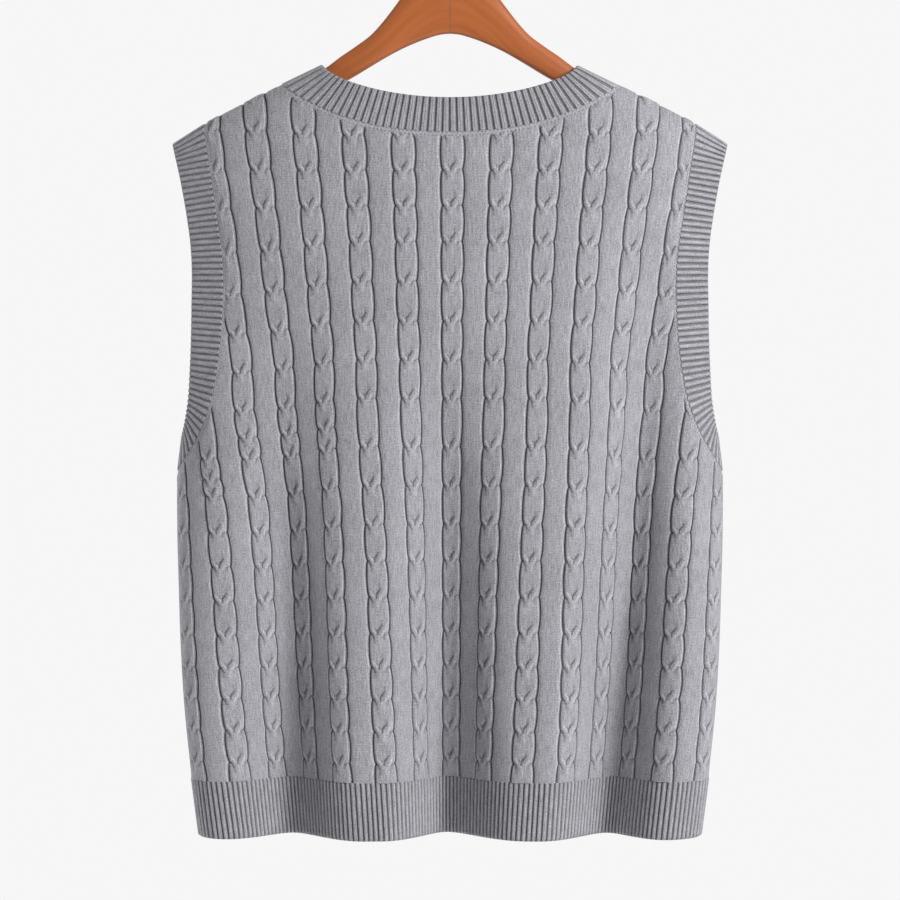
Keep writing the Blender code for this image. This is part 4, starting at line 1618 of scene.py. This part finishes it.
    def surface(
        self, cables: np.ndarray, drop: np.ndarray, raised: bool
    ) -> tuple[np.ndarray, dict[str, np.ndarray]]:
        """Points of a wall with the numbers that the yarn's finish reads.

        Args:
            cables: cable pitches from the middle.
            drop: drops below the neck point.
            raised: true for the outer wall, false for the inner one.

        Returns:
            Points, and two numbers for each point by UV map name.
        """
        knit = self.knit
        turns = self.cable_map.turn_at(cables, drop)
        points, normals = self.drape.cloth(self.sheet, turns, drop)
        course = knit.course_of(cables, drop)
        phase, gap = knit.phase(cables, course)
        maps = {"gauge": np.stack([cables * knit.wales, course / knit.course], axis=-1)}
        if not raised:
            plain = np.full_like(cables, 0.5)
            maps["twist"] = np.stack([plain, plain], axis=-1)
            maps["lay"] = np.stack([np.full_like(cables, self.plain_gap), plain], axis=-1)
            maps["seam"] = np.stack([plain, np.full_like(cables, self.far_from_seam)], axis=-1)
            return points, maps
        run, away = self.beside_seams(cables, points[:, 0], drop)
        knitted = ramp(knit.chain_height - knit.chain_blend, knit.chain_height + knit.chain_blend, away)
        height = knit.wall + (knit.relief(cables, course) - knit.wall) * knitted
        maps["twist"] = np.stack([cables, phase], axis=-1)
        maps["lay"] = np.stack([gap, course], axis=-1)
        maps["seam"] = np.stack([run, np.minimum(away, self.far_from_seam)], axis=-1)
        return points + normals * height[..., None], maps

    def laid_flat(self, cables: np.ndarray, drop: np.ndarray) -> np.ndarray:
        """Places on the sheet laid flat, in metres across and down."""
        return np.stack([cables * self.knit.pitch, drop], axis=-1)

    def clear_of_shoulder(self, cables: np.ndarray, drop: np.ndarray) -> np.ndarray:
        """Whether places lie well below the shoulder line, or under the neck.

        Args:
            cables: cable pitches from the middle.
            drop: drops below the neck point.

        Returns:
            A flag for each place.
        """
        d = self.drape
        x = np.abs(d.section("half_width", drop) * np.sin(self.cable_map.turn_at(cables, drop)))
        below = drop - d.shoulder_drop(x) > self.shoulder_clear
        return below | (x < d.neck_seam_half - self.neck_margin)

    def triangulate(self, flat: np.ndarray, edges: np.ndarray) -> np.ndarray:
        """Triangles over flat points that keep to the given edges.

        Args:
            flat: the points.
            edges: two point numbers for each edge.

        Returns:
            The triangles.
        """
        vectors = [Vector((float(x), float(y))) for x, y in flat]
        faces, origins = delaunay_2d_cdt(vectors, edges.tolist(), [], 1, 1e-7)[2:4]
        found = [[origins[corner][0] for corner in face] for face in faces]
        return np.array([face for face in found if len(set(face)) == 3], int)

    def build(self, material: bpy.types.Material, rests_on: Sequence[str]) -> bpy.types.Object:
        """Args:
            material: the yarn's finish.
            rests_on: what the panel hangs from; not used.

        Returns:
            The panel.
        """
        turns, drops = self.outline()
        cables = self.cable_map.cables_at(turns, drops)
        rim = self.laid_flat(cables, drops)
        outer, outer_maps, faces = self.outer_wall(cables, drops, rim)
        inner, inner_maps, inner_faces = self.inner_wall(cables, drops, rim)
        shift = len(outer)
        if self.sheet is Sheet.FRONT:
            faces = [face[::-1] for face in faces]
            inner_faces = inner_faces[:, ::-1]
        faces += (inner_faces[:, ::-1] + shift).tolist()
        for here, follow in ring(len(rim)).tolist():
            side = [here, follow, follow + shift, here + shift]
            faces.append(side if self.sheet is Sheet.BACK else side[::-1])
        maps = {label: np.concatenate([values, inner_maps[label]]) for label, values in outer_maps.items()}
        made = new_mesh_object(self.name, np.concatenate([outer, inner]), faces, material, maps)
        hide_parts(self.node)
        return made

    def outer_wall(
        self, cables: np.ndarray, drops: np.ndarray, rim: np.ndarray
    ) -> tuple[np.ndarray, dict[str, np.ndarray], list[list[int]]]:
        """The outer wall: rows and columns that follow the cables, and a strip of triangles round them.

        Args:
            cables: cable pitches of the outline.
            drops: drops of the outline.
            rim: the outline laid flat.

        Returns:
            Points, their UV numbers and faces. The outline's points come first.
        """
        u, course = self.lattice()
        v = course + self.knit.droop(u, course)
        flat = self.laid_flat(u, v).reshape(-1, 2)
        quads, edges = self.cells(u, v, flat, rim)
        border = np.unique(edges)
        extra_cables, extra_drops = self.near_shoulder()
        extra = self.laid_flat(extra_cables, extra_drops)
        count = len(rim)
        places = np.concatenate([rim, flat[border], extra])
        local = np.searchsorted(border, edges) + count
        strip = self.triangulate(places, np.concatenate([ring(count), local]))
        border_numbers = range(count, count + len(border))
        strip = self.outside_cells(strip, places, border_numbers, flat[edges[:, 0]], flat[edges[:, 1]])
        used = np.unique(quads)
        number = np.full(u.size, -1)
        number[used] = np.arange(len(used)) + count
        first_extra = count + len(used)
        local_number = np.concatenate(
            [np.arange(count), number[border], first_extra + np.arange(len(extra))]
        )
        all_cables = np.concatenate([cables, u.ravel()[used], extra_cables])
        all_drops = np.concatenate([drops, v.ravel()[used], extra_drops])
        points, maps = self.surface(all_cables, all_drops, True)
        return points, maps, number[quads].tolist() + local_number[strip].tolist()

    def cells(
        self, u: np.ndarray, v: np.ndarray, flat: np.ndarray, rim: np.ndarray
    ) -> tuple[np.ndarray, np.ndarray]:
        """The cells between rows and columns that lie well inside the panel.

        Args:
            u: cable pitches of the rows and columns.
            v: their drops.
            flat: the same places laid flat, in one list.
            rim: the panel's outline laid flat.

        Returns:
            Corner numbers of each cell, and the edges round all of them.
        """
        ends = np.roll(rim, -1, axis=0)
        within = inside(flat, rim, ends) & (distance(flat, rim, ends) > self.lattice_margin)
        keep = within.reshape(u.shape) & self.clear_of_shoulder(u, v)
        cells = keep[:-1, :-1] & keep[1:, :-1] & keep[:-1, 1:] & keep[1:, 1:]
        number = np.arange(u.size).reshape(u.shape)
        corners = [number[:-1, :-1], number[:-1, 1:], number[1:, 1:], number[1:, :-1]]
        padded = np.pad(cells, 1)
        level = padded[:-1, 1:-1] ^ padded[1:, 1:-1]
        upright = padded[1:-1, :-1] ^ padded[1:-1, 1:]
        edges = [
            np.stack([number[:, :-1][level], number[:, 1:][level]], axis=-1),
            np.stack([number[:-1, :][upright], number[1:, :][upright]], axis=-1),
        ]
        return np.stack(corners, axis=-1)[cells], np.concatenate(edges)

    def outside_cells(
        self, strip: np.ndarray, places: np.ndarray, border: range, start: np.ndarray, end: np.ndarray
    ) -> np.ndarray:
        """The strip's triangles that don't lie over the cells.

        Args:
            strip: corner numbers of each triangle.
            places: flat places of the corners.
            border: numbers of the corners on the cells' border.
            start: first ends of the edges round the cells.
            end: second ends of those edges.

        Returns:
            The triangles that stay.
        """
        between = ((strip >= border.start) & (strip < border.stop)).all(axis=1)
        middles = places[strip[between]].mean(axis=1)
        keep = np.ones(len(strip), bool)
        keep[np.flatnonzero(between)[inside(middles, start, end)]] = False
        return strip[keep]

    def inner_wall(
        self, cables: np.ndarray, drops: np.ndarray, rim: np.ndarray
    ) -> tuple[np.ndarray, dict[str, np.ndarray], np.ndarray]:
        """The plain inner wall.

        Args:
            cables: cable pitches of the outline.
            drops: drops of the outline.
            rim: the outline laid flat.

        Returns:
            Points, their UV numbers and triangles. The outline's points come first.
        """
        reach = SIDE_CABLES * self.knit.pitch
        across = np.arange(-reach, reach, self.inner_spacing * self.inner_narrowing)
        down = np.arange(self.inner_top, self.drape.hem_seam, self.inner_spacing)
        lattice = np.stack(np.meshgrid(across, down), axis=-1).reshape(-1, 2)
        ends = np.roll(rim, -1, axis=0)
        lattice = lattice[inside(lattice, rim, ends) & (distance(lattice, rim, ends) > self.inner_margin)]
        lattice = lattice[self.clear_of_shoulder(lattice[:, 0] / self.knit.pitch, lattice[:, 1])]
        extra_cables, extra_drops = self.near_shoulder()
        flat = np.concatenate([rim, lattice, self.laid_flat(extra_cables, extra_drops)])
        faces = self.triangulate(flat, ring(len(rim)))
        all_cables = np.concatenate([cables, lattice[:, 0] / self.knit.pitch, extra_cables])
        all_drops = np.concatenate([drops, lattice[:, 1], extra_drops])
        points, maps = self.surface(all_cables, all_drops, False)
        return points, maps, faces


@dataclass
class RibbedBand:
    """A ribbed strip between a seam and a free edge, with a rounded edge and a plain inside."""

    name: str
    node: str
    style: RibStyle
    repeat: float
    closed: bool
    flat: tuple[float, float]
    wall: float = 0.0022
    rise: float = 0.0007
    groove: float = 0.0014
    groove_power: float = 2.6
    dip: float = 0.0003
    dip_half: float = 0.05
    edge_round: float = 0.0018
    seam_round: float = 0.0012
    seam_start: float = 0.0004
    course: float = 0.00135
    seam_overlap: float = 0.0002
    depth_weight: float = 1.0
    across: tuple[float, ...] = (
        0.0, 0.02, 0.05, 0.10, 0.18, 0.28, 0.40, 0.52, 0.64, 0.76, 0.86, 0.93, 0.97, 1.0,
    )
    inside_across: tuple[float, ...] = (1.0, 0.94, 0.5, 0.06, 0.0)

    def profile(self, place: np.ndarray) -> np.ndarray:
        """Rib height over the wall at places along the band in repeats.

        Args:
            place: places in repeats.

        Returns:
            Heights in metres.
        """
        shape = self.style.value

        def away(middle: float) -> np.ndarray:
            """Distance in repeats from a line that every repeat has."""
            return np.abs((place - middle + 0.5) % 1.0 - 0.5)

        groove = (away(shape.groove_place) / shape.groove_half) ** self.groove_power
        height = self.rise - self.groove * np.exp(-groove)
        for dip in shape.dips:
            height = height - self.dip * np.exp(-((away(dip) / self.dip_half) ** 2))
        return height

    def rounding(self, from_seam: float, from_edge: float) -> float:
        """Share of its thickness that the band keeps near its two sides.

        Args:
            from_seam: distance from the seam.
            from_edge: distance from the free edge.

        Returns:
            The share.
        """
        keep = 1.0
        sides = ((from_edge, self.edge_round), (from_seam + self.seam_start, self.seam_round))
        for away, radius in sides:
            if away < radius:
                keep = min(keep, math.sqrt(1 - (1 - away / radius) ** 2))
        return keep

    def stations(self, repeats: int) -> np.ndarray:
        """Places of the band's columns, in repeats."""
        found = np.array([k + place for k in range(repeats) for place in self.style.value.columns])
        return found if self.closed else np.append(found, float(repeats))

    def faces(self, columns: int, rows: int) -> list[list[int]]:
        """Faces all round the band, with a cap at each end of an open one.

        Args:
            columns: points along a row.
            rows: rows round the band.

        Returns:
            Vertex numbers of each face.
        """
        found = []
        last = columns if self.closed else columns - 1
        for row in range(rows):
            here, below = row * columns, (row + 1) % rows * columns
            for k in range(last):
                follow = (k + 1) % columns
                found.append([here + k, here + follow, below + follow, below + k])
        if not self.closed:
            for k in (0, columns - 1):
                cap = [row * columns + k for row in range(rows)]
                found.append(cap if k else cap[::-1])
        return found

    def build(
        self,
        seam: tuple[np.ndarray, np.ndarray],
        edge: tuple[np.ndarray, np.ndarray],
        material: bpy.types.Material,
        rests_on: Sequence[str],
    ) -> bpy.types.Object:
        """Args:
            seam: points and outward normals along the seam.
            edge: the same along the free edge.
            material: the yarn's finish.
            rests_on: the panels that it is knitted on to; not used.

        Returns:
            The band.
        """
        lines = [np.concatenate([line, line[:1]]) if self.closed else line for line in (*seam, *edge)]
        steps = np.diff((lines[0] + lines[2]) / 2, axis=0) * (1.0, self.depth_weight, 1.0)
        length = np.concatenate([[0.0], np.cumsum(np.linalg.norm(steps, axis=1))])
        repeats = round(length[-1] / self.repeat)
        stations = self.stations(repeats)
        read = stations / repeats * length[-1]
        seam_p, seam_n, edge_p, edge_n = [
            np.stack([np.interp(read, length, line[:, axis]) for axis in range(3)], axis=-1) for line in lines
        ]
        toward = edge_p - seam_p
        width = np.linalg.norm(toward, axis=1, keepdims=True)
        seam_p = seam_p - toward / width * self.seam_overlap
        mean_width = float(np.mean(width))
        height = self.profile(stations)
        rows: list[np.ndarray] = []
        maps: dict[str, list[np.ndarray]] = {"gauge": [], "rib": [], "ends": []}
        wales = (1 + len(self.style.value.wales)) * stations
        plain = np.full(len(stations), self.style.value.wales[0])
        outer = [
            (share, self.rounding(share * mean_width, (1 - share) * mean_width)) for share in self.across
        ]
        for share, keep in outer + [(share, 0.0) for share in self.inside_across]:
            normals = unit(seam_n + (edge_n - seam_n) * share)
            inner = len(rows) >= len(outer)
            lift = self.wall / 4 if inner and share in (0.0, 1.0) else 0.0
            out = lift + np.zeros(len(stations)) if inner else self.wall / 2 + (self.wall / 2 + height) * keep
            rows.append(seam_p + (edge_p - seam_p) * share + normals * out[:, None])
            along = share * width[:, 0]
            maps["gauge"].append(np.stack([wales, along / self.course], axis=-1))
            maps["rib"].append(np.stack([plain if inner else stations, along], axis=-1))
            maps["ends"].append(np.stack([along, width[:, 0] - along], axis=-1))
        made = new_mesh_object(
            self.name,
            np.concatenate(rows),
            self.faces(len(stations), len(rows)),
            material,
            {label: np.concatenate(parts) for label, parts in maps.items()},
        )
        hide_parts(self.node)
        return made


@dataclass
class Vest:
    """The seven knitted pieces of the vest."""

    drape: Drape = field(default_factory=Drape)
    knit: CableKnit = field(default_factory=CableKnit)
    neck_steps: int = 180
    middle_spread: float = 1.14
    spread_power: float = 6.0
    armhole_steps: int = 180
    hem_points: int = 301

    def neck_line(
        self, line: Callable[[Sheet, np.ndarray], np.ndarray], half_width: float
    ) -> tuple[np.ndarray, np.ndarray]:
        """One line round the neck: back from left to right, then front from right to left.

        Args:
            line: gives the line's drop on a sheet at distances from the middle.
            half_width: where the line meets the shoulders.

        Returns:
            Points and outward normals along the line.
        """
        parts = []
        back = np.linspace(-90.0, 90.0, self.neck_steps + 1)
        for sheet, angles in ((Sheet.BACK, back), (Sheet.FRONT, -back[1:-1])):
            share = np.sin(np.radians(angles))
            spread = half_width / self.drape.neck_edge_half
            if sheet is Sheet.BACK and spread > 1.0:
                toward_side = np.abs(share) ** self.spread_power
                share = share * (self.middle_spread + (spread - self.middle_spread) * toward_side) / spread
            x = half_width * share
            drop = line(sheet, x)
            parts.append(self.drape.cloth(sheet, self.drape.turn_of(x, drop), drop, gap=0.0))
        return np.concatenate([part[0] for part in parts]), np.concatenate([part[1] for part in parts])

    def armhole_ring(
        self, side: int, line: ArmholeLine, end_drop: float, shifted: bool = False
    ) -> tuple[np.ndarray, np.ndarray]:
        """One line round an armhole: down the back, then up the front.

        Args:
            side: -1 for the left armhole, 1 for the right one.
            line: the armhole's edge or its seam.
            end_drop: drop at the underarm.
            shifted: whether its steps follow the slant of the ribs.

        Returns:
            Points and outward normals along the line.
        """
        turns, drops = self.drape.armhole_line(line, end_drop, self.armhole_steps, shifted)
        back = self.drape.cloth(Sheet.BACK, side * turns, drops, gap=0.0)
        front = self.drape.cloth(Sheet.FRONT, side * turns[-2:0:-1], drops[-2:0:-1], gap=0.0)
        return np.concatenate([back[0], front[0]]), np.concatenate([back[1], front[1]])

    def hem_line(self, cable_map: CableMap, drop: float) -> tuple[np.ndarray, np.ndarray]:
        """One line along the hem of a sheet.

        Args:
            cable_map: the sheet's map of cables.
            drop: drop of the line.

        Returns:
            Points and outward normals.
        """
        drops = np.full(self.hem_points, drop)
        turns = cable_map.turn_at(np.linspace(-SIDE_CABLES, SIDE_CABLES, self.hem_points), drops)
        return self.drape.cloth(cable_map.sheet, turns, drops)

    def build(self, hangs_from: Sequence[str]) -> list[bpy.types.Object]:
        """Make all the knitted pieces.

        Args:
            hangs_from: names of the hanger's arms.

        Returns:
            The pieces.
        """
        d = self.drape
        cable_yarn = CableYarn(knit=self.knit).material()
        neck_yarn = RibYarn(
            "neck_yarn", style=RibStyle.TWO_BY_ONE, groove_shade=0.48, dip_shade=0.20
        ).material()
        band_yarn = RibYarn(
            "band_yarn", style=RibStyle.OPEN_RIB, groove_shade=0.46, wale_highlight=0.16
        ).material()
        hem_yarn = RibYarn("hem_yarn", style=RibStyle.CLOSE_RIB).material()
        back = Panel(d, self.knit, Sheet.BACK, "knit_back", "back_panel", (0.525, 0.60), 0.27)
        front = Panel(d, self.knit, Sheet.FRONT, "knit_front", "front_panel", (0.525, 0.60), 0.24)
        made = [panel.build(cable_yarn, hangs_from) for panel in (back, front)]
        panels = [piece.name for piece in made]
        neck = RibbedBand(
            name="neck_rib",
            node="neckband",
            style=RibStyle.TWO_BY_ONE,
            repeat=0.0058,
            closed=True,
            flat=(0.86, 0.030),
            depth_weight=0.25,
        )
        seam = self.neck_line(d.neck_seam, d.neck_seam_half)
        edge = self.neck_line(d.neck_edge, d.neck_edge_half)
        made.append(neck.build(seam, edge, neck_yarn, panels))
        for side, label in ((-1, "left"), (1, "right")):
            band = RibbedBand(
                name=f"armhole_rib_{label}",
                node=f"armhole_band_{label}",
                style=RibStyle.OPEN_RIB,
                repeat=0.0052,
                closed=True,
                flat=(0.60, 0.028),
            )
            seam = self.armhole_ring(side, ArmholeLine.SEAM, d.armhole_seam_drop, True)
            edge = self.armhole_ring(side, ArmholeLine.EDGE, d.armhole_edge_drop)
            made.append(band.build(seam, edge, band_yarn, panels))
        for panel, label in ((back, "back"), (front, "front")):
            band = RibbedBand(
                name=f"hem_{label}",
                node=f"hem_rib_{label}",
                style=RibStyle.CLOSE_RIB,
                repeat=0.0040,
                closed=False,
                flat=(0.525, 0.047),
            )
            seam = self.hem_line(panel.cable_map, d.hem_seam)
            edge = self.hem_line(panel.cable_map, d.length)
            made.append(band.build(seam, edge, hem_yarn, panels))
        return made


@dataclass
class Hanger:
    """The contoured wooden hanger: two arms that meet in the middle, and a wire hook."""

    drape: Drape = field(default_factory=Drape)
    wood: StainedWood = field(default_factory=StainedWood)
    steel: PolishedSteel = field(default_factory=PolishedSteel)
    half_length: float = 0.2035
    thickness: float = 0.0115
    height: float = 0.021
    clearance: float = 0.0018
    joint_gap: float = 0.00004
    squareness: float = 2.6
    first_ring: float = 0.001
    ring_count: int = 90
    ring_sides: int = 40
    tip_length: float = 0.008
    tip_rings: int = 10
    tip_bluntness: float = 0.1
    sharp_angle: float = 50.0
    hook_inner_radius: float = 0.019
    wire_radius: float = 0.0018
    shank_depth: float = 0.016
    loop_start: float = -58.0
    loop_end: float = 208.0
    loop_points: int = 60
    hidden_stations: tuple[float, ...] = (0.106, 0.130, 0.155, 0.180)
    stations: tuple[ArmStation, ...] = (
        ArmStation(0.0000, 0.0900, 0.0270),
        ArmStation(0.0080, 0.0895, 0.0262),
        ArmStation(0.0160, 0.0860, 0.0240),
        ArmStation(0.0260, 0.0760, 0.0205),
        ArmStation(0.0350, 0.0655, 0.0168),
        ArmStation(0.0480, 0.0480, 0.0105),
        ArmStation(0.0570, 0.0365, 0.0055),
        ArmStation(0.0655, 0.0272, 0.0005),
        ArmStation(0.0790, 0.0170, -0.0075),
        ArmStation(0.0925, 0.0080, -0.0150),
    )

    def span(self) -> tuple[np.ndarray, np.ndarray, np.ndarray]:
        """Distances out, tops and bottoms of the arm's sections.

        Returns:
            Three numbers for each section.
        """
        rows = [tuple(row) for row in self.stations]
        for x in (*self.hidden_stations, self.half_length):
            top = -float(self.drape.shoulder_drop(x)) - self.clearance
            rows.append((x, top, top - self.height))
        knots, tops, bottoms = (list(part) for part in zip(*rows))
        tip_start = self.half_length - self.tip_length
        body = np.linspace(self.first_ring, tip_start, self.ring_count)
        turn = np.radians(np.linspace(9.0, 88.0, self.tip_rings))
        tip = tip_start + self.tip_length * np.sin(turn)
        x = np.concatenate([[self.joint_gap / 2], body, tip])
        return x, smooth(knots, tops, x), smooth(knots, bottoms, x)

    def arm(self, side: int, label: str, wood: bpy.types.Material) -> bpy.types.Object:
        """One arm: rounded upright sections swept outward.

        Args:
            side: -1 for the left arm, 1 for the right one.
            label: the side's name.
            wood: the finish.

        Returns:
            The arm.
        """
        x, tops, bottoms = self.span()
        turn = np.linspace(0.0, 2 * math.pi, self.ring_sides, endpoint=False)
        power = 2 / self.squareness
        flat_y = np.sign(np.cos(turn)) * np.abs(np.cos(turn)) ** power
        flat_z = np.sign(np.sin(turn)) * np.abs(np.sin(turn)) ** power
        reach = np.clip((x - (self.half_length - self.tip_length)) / self.tip_length, 0.0, 1.0)
        blunt = self.tip_bluntness
        shrink = (np.sqrt(np.maximum(1 - reach**2, 0.0)) * (1 - blunt) + blunt)[:, None]
        middle_y = self.drape.mid_surface(x, np.zeros_like(x))[:, None]
        y = middle_y + self.thickness / 2 * shrink * flat_y
        half = (tops - bottoms)[:, None] / 2 * shrink
        middle_z = (tops + bottoms) / 2
        z = middle_z[:, None] + half * flat_z
        out = np.broadcast_to(x[:, None], y.shape)
        points = np.stack([side * out, y, self.drape.neck_height + z], axis=-1)
        run = np.concatenate([[0.0], np.cumsum(np.hypot(np.diff(x), np.diff(middle_z)))])
        along = side * np.broadcast_to(run[:, None], y.shape) + side
        grain = np.stack([along, half * flat_z + y * 0.3], axis=-1)
        number = np.arange(y.size).reshape(y.shape)
        follow = np.roll(number, -1, axis=1)
        faces = np.stack([number[:-1], follow[:-1], follow[1:], number[1:]], axis=-1).reshape(-1, 4)
        faces = faces if side > 0 else faces[:, ::-1]
        caps = [number[0][::-1].tolist(), number[-1].tolist()]
        caps = caps if side > 0 else [cap[::-1] for cap in caps]
        made = new_mesh_object(
            f"wooden_arm_{label}",
            points.reshape(-1, 3),
            faces.tolist() + caps,
            wood,
            {"grain": grain.reshape(-1, 2)},
            sharp_angle=self.sharp_angle,
        )
        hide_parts(f"hanger_arm_{label}")
        return made

    def hook(self, steel: bpy.types.Material) -> bpy.types.Object:
        """The wire hook: a shank, a swing out to one side and a round loop over the origin.

        Args:
            steel: the finish.

        Returns:
            The hook.
        """
        wood_top = self.drape.neck_height + self.stations[0].top
        radius = self.hook_inner_radius + self.wire_radius
        centre = -self.hook_inner_radius
        points = [(0.0, wood_top - self.shank_depth + 0.0005), (0.0, wood_top), (0.0, wood_top + 0.008)]
        points += [(0.0012, centre - radius - 0.0045), (0.0062, centre - radius * 0.99)]
        for turn in np.radians(np.linspace(self.loop_start, self.loop_end, self.loop_points)):
            points.append((radius * math.cos(turn), centre + radius * math.sin(turn)))
        curve = bpy.data.curves.new("wire_hook", "CURVE")
        curve.dimensions = "3D"
        spline = curve.splines.new("POLY")
        spline.points.add(len(points) - 1)
        for target, (x, z) in zip(spline.points, points):
            target.co = (x, 0.0, z, 1.0)
        curve.bevel_depth = self.wire_radius
        curve.bevel_resolution = 5
        curve.use_fill_caps = True
        curve.materials.append(steel)
        made = bpy.data.objects.new("wire_hook", curve)
        bpy.context.scene.collection.objects.link(made)
        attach(made, BODY)
        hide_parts("hanger_hook")
        return made

    def build(self) -> list[bpy.types.Object]:
        """Make both arms and the hook."""
        wood, steel = self.wood.material(), self.steel.material()
        return [self.arm(-1, "left", wood), self.arm(1, "right", wood), self.hook(steel)]


@dataclass
class Studio:
    """Camera, soft lights, pale surroundings and floor."""

    camera_distance: float = 2.0
    camera_height: float = -0.4746
    lens: float = 95.24
    key_place: tuple[float, float, float] = (2.30, -1.95, 0.55)
    key_size: float = 1.3
    key_power: float = 105.0
    fill_place: tuple[float, float, float] = (-2.40, -0.20, -0.40)
    fill_size: float = 0.6
    fill_power: float = 17.0
    front_place: tuple[float, float, float] = (-1.90, 2.20, 0.60)
    front_size: float = 1.2
    front_power: float = 60.0
    aim_height: float = -0.5
    surround: float = 0.27
    backdrop: float = 0.93
    backdrop_tint: tuple[float, float, float] = (0.995, 0.995, 1.0)
    floor_height: float = -1.55
    floor_radius: float = 2.3
    floor_sides: int = 96
    floor_tints: tuple[float, float] = (0.80, 0.83)

    def camera(self) -> None:
        """The camera, level and square to the back of the vest."""
        data = bpy.data.cameras.new("camera")
        data.lens = self.lens
        data.sensor_width = 36.0
        made = bpy.data.objects.new("camera", data)
        made.location = (0.0, -self.camera_distance, self.camera_height)
        made.rotation_euler = (math.pi / 2, 0.0, 0.0)
        bpy.context.scene.collection.objects.link(made)
        bpy.context.scene.camera = made

    def soft_light(self, name: str, place: tuple[float, float, float], size: float, power: float) -> None:
        """A round soft light aimed at the middle of the vest.

        Args:
            name: the light's name.
            place: where it stands.
            size: how wide it is.
            power: its power in watts.
        """
        data = bpy.data.lights.new(name, "AREA")
        data.shape = "DISK"
        data.size = size
        data.energy = power
        made = bpy.data.objects.new(name, data)
        made.location = place
        aim = Vector((0.0, 0.0, self.aim_height)) - Vector(place)
        made.rotation_euler = aim.to_track_quat("-Z", "Y").to_euler()
        bpy.context.scene.collection.objects.link(made)

    def surroundings(self) -> None:
        """An even pale surround that is seen brighter than it lights."""
        world = bpy.data.worlds.new("surround")
        world.use_nodes = True
        tree = world.node_tree
        light = tree.nodes["Background"]
        light.inputs["Color"].default_value = (1.0, 1.0, 1.0, 1.0)
        light.inputs["Strength"].default_value = self.surround
        seen = tree.nodes.new("ShaderNodeBackground")
        seen.inputs["Color"].default_value = (*self.backdrop_tint, 1.0)
        seen.inputs["Strength"].default_value = self.backdrop
        mix = tree.nodes.new("ShaderNodeMixShader")
        path = tree.nodes.new("ShaderNodeLightPath")
        tree.links.new(path.outputs["Is Camera Ray"], mix.inputs[0])
        tree.links.new(light.outputs[0], mix.inputs[1])
        tree.links.new(seen.outputs[0], mix.inputs[2])
        tree.links.new(mix.outputs[0], tree.nodes["World Output"].inputs[0])
        bpy.context.scene.world = world
        bpy.context.scene.view_settings.view_transform = "Standard"

    def floor(self) -> bpy.types.Object:
        """A plain pale disc well below the hem.

        Returns:
            The floor.
        """
        count = self.floor_sides
        turn = np.linspace(0.0, 2 * math.pi, count, endpoint=False)
        ring = np.stack([np.cos(turn), np.sin(turn), np.zeros(count)], axis=-1) * self.floor_radius
        mesh = bpy.data.meshes.new("floor")
        mesh.from_pydata((ring + (0.0, 0.0, self.floor_height)).tolist(), [], [list(range(count))])
        n = Nodes("pale_floor")
        grain = n.noise(n.object_place(), 9.0, 3.0)
        low, high = self.floor_tints
        tint = n.blend(grain, (low, low, low, 1.0), (high, high, high, 1.0))
        mesh.materials.append(n.finish(Base_Color=tint, Roughness=0.9))
        made = bpy.data.objects.new("floor", mesh)
        bpy.context.scene.collection.objects.link(made)
        return made

    def build(self) -> None:
        """Set the whole studio up."""
        self.camera()
        self.soft_light("key", self.key_place, self.key_size, self.key_power)
        self.soft_light("fill", self.fill_place, self.fill_size, self.fill_power)
        self.soft_light("front", self.front_place, self.front_size, self.front_power)
        self.surroundings()
        self.floor()


def main() -> None:
    """Build the studio, the hanger and the vest, and report each piece."""
    logging.basicConfig(level=logging.INFO, format="%(name)s: %(message)s")
    Studio().build()
    hanger = Hanger().build()
    vest = Vest().build([arm.name for arm in hanger[:2]])
    for piece in hanger + vest:
        size = ", ".join(f"{side * 1000:.0f}" for side in piece.dimensions)
        LOG.info("%s: %s mm", piece.name, size)


if __name__ == "__main__":
    main()
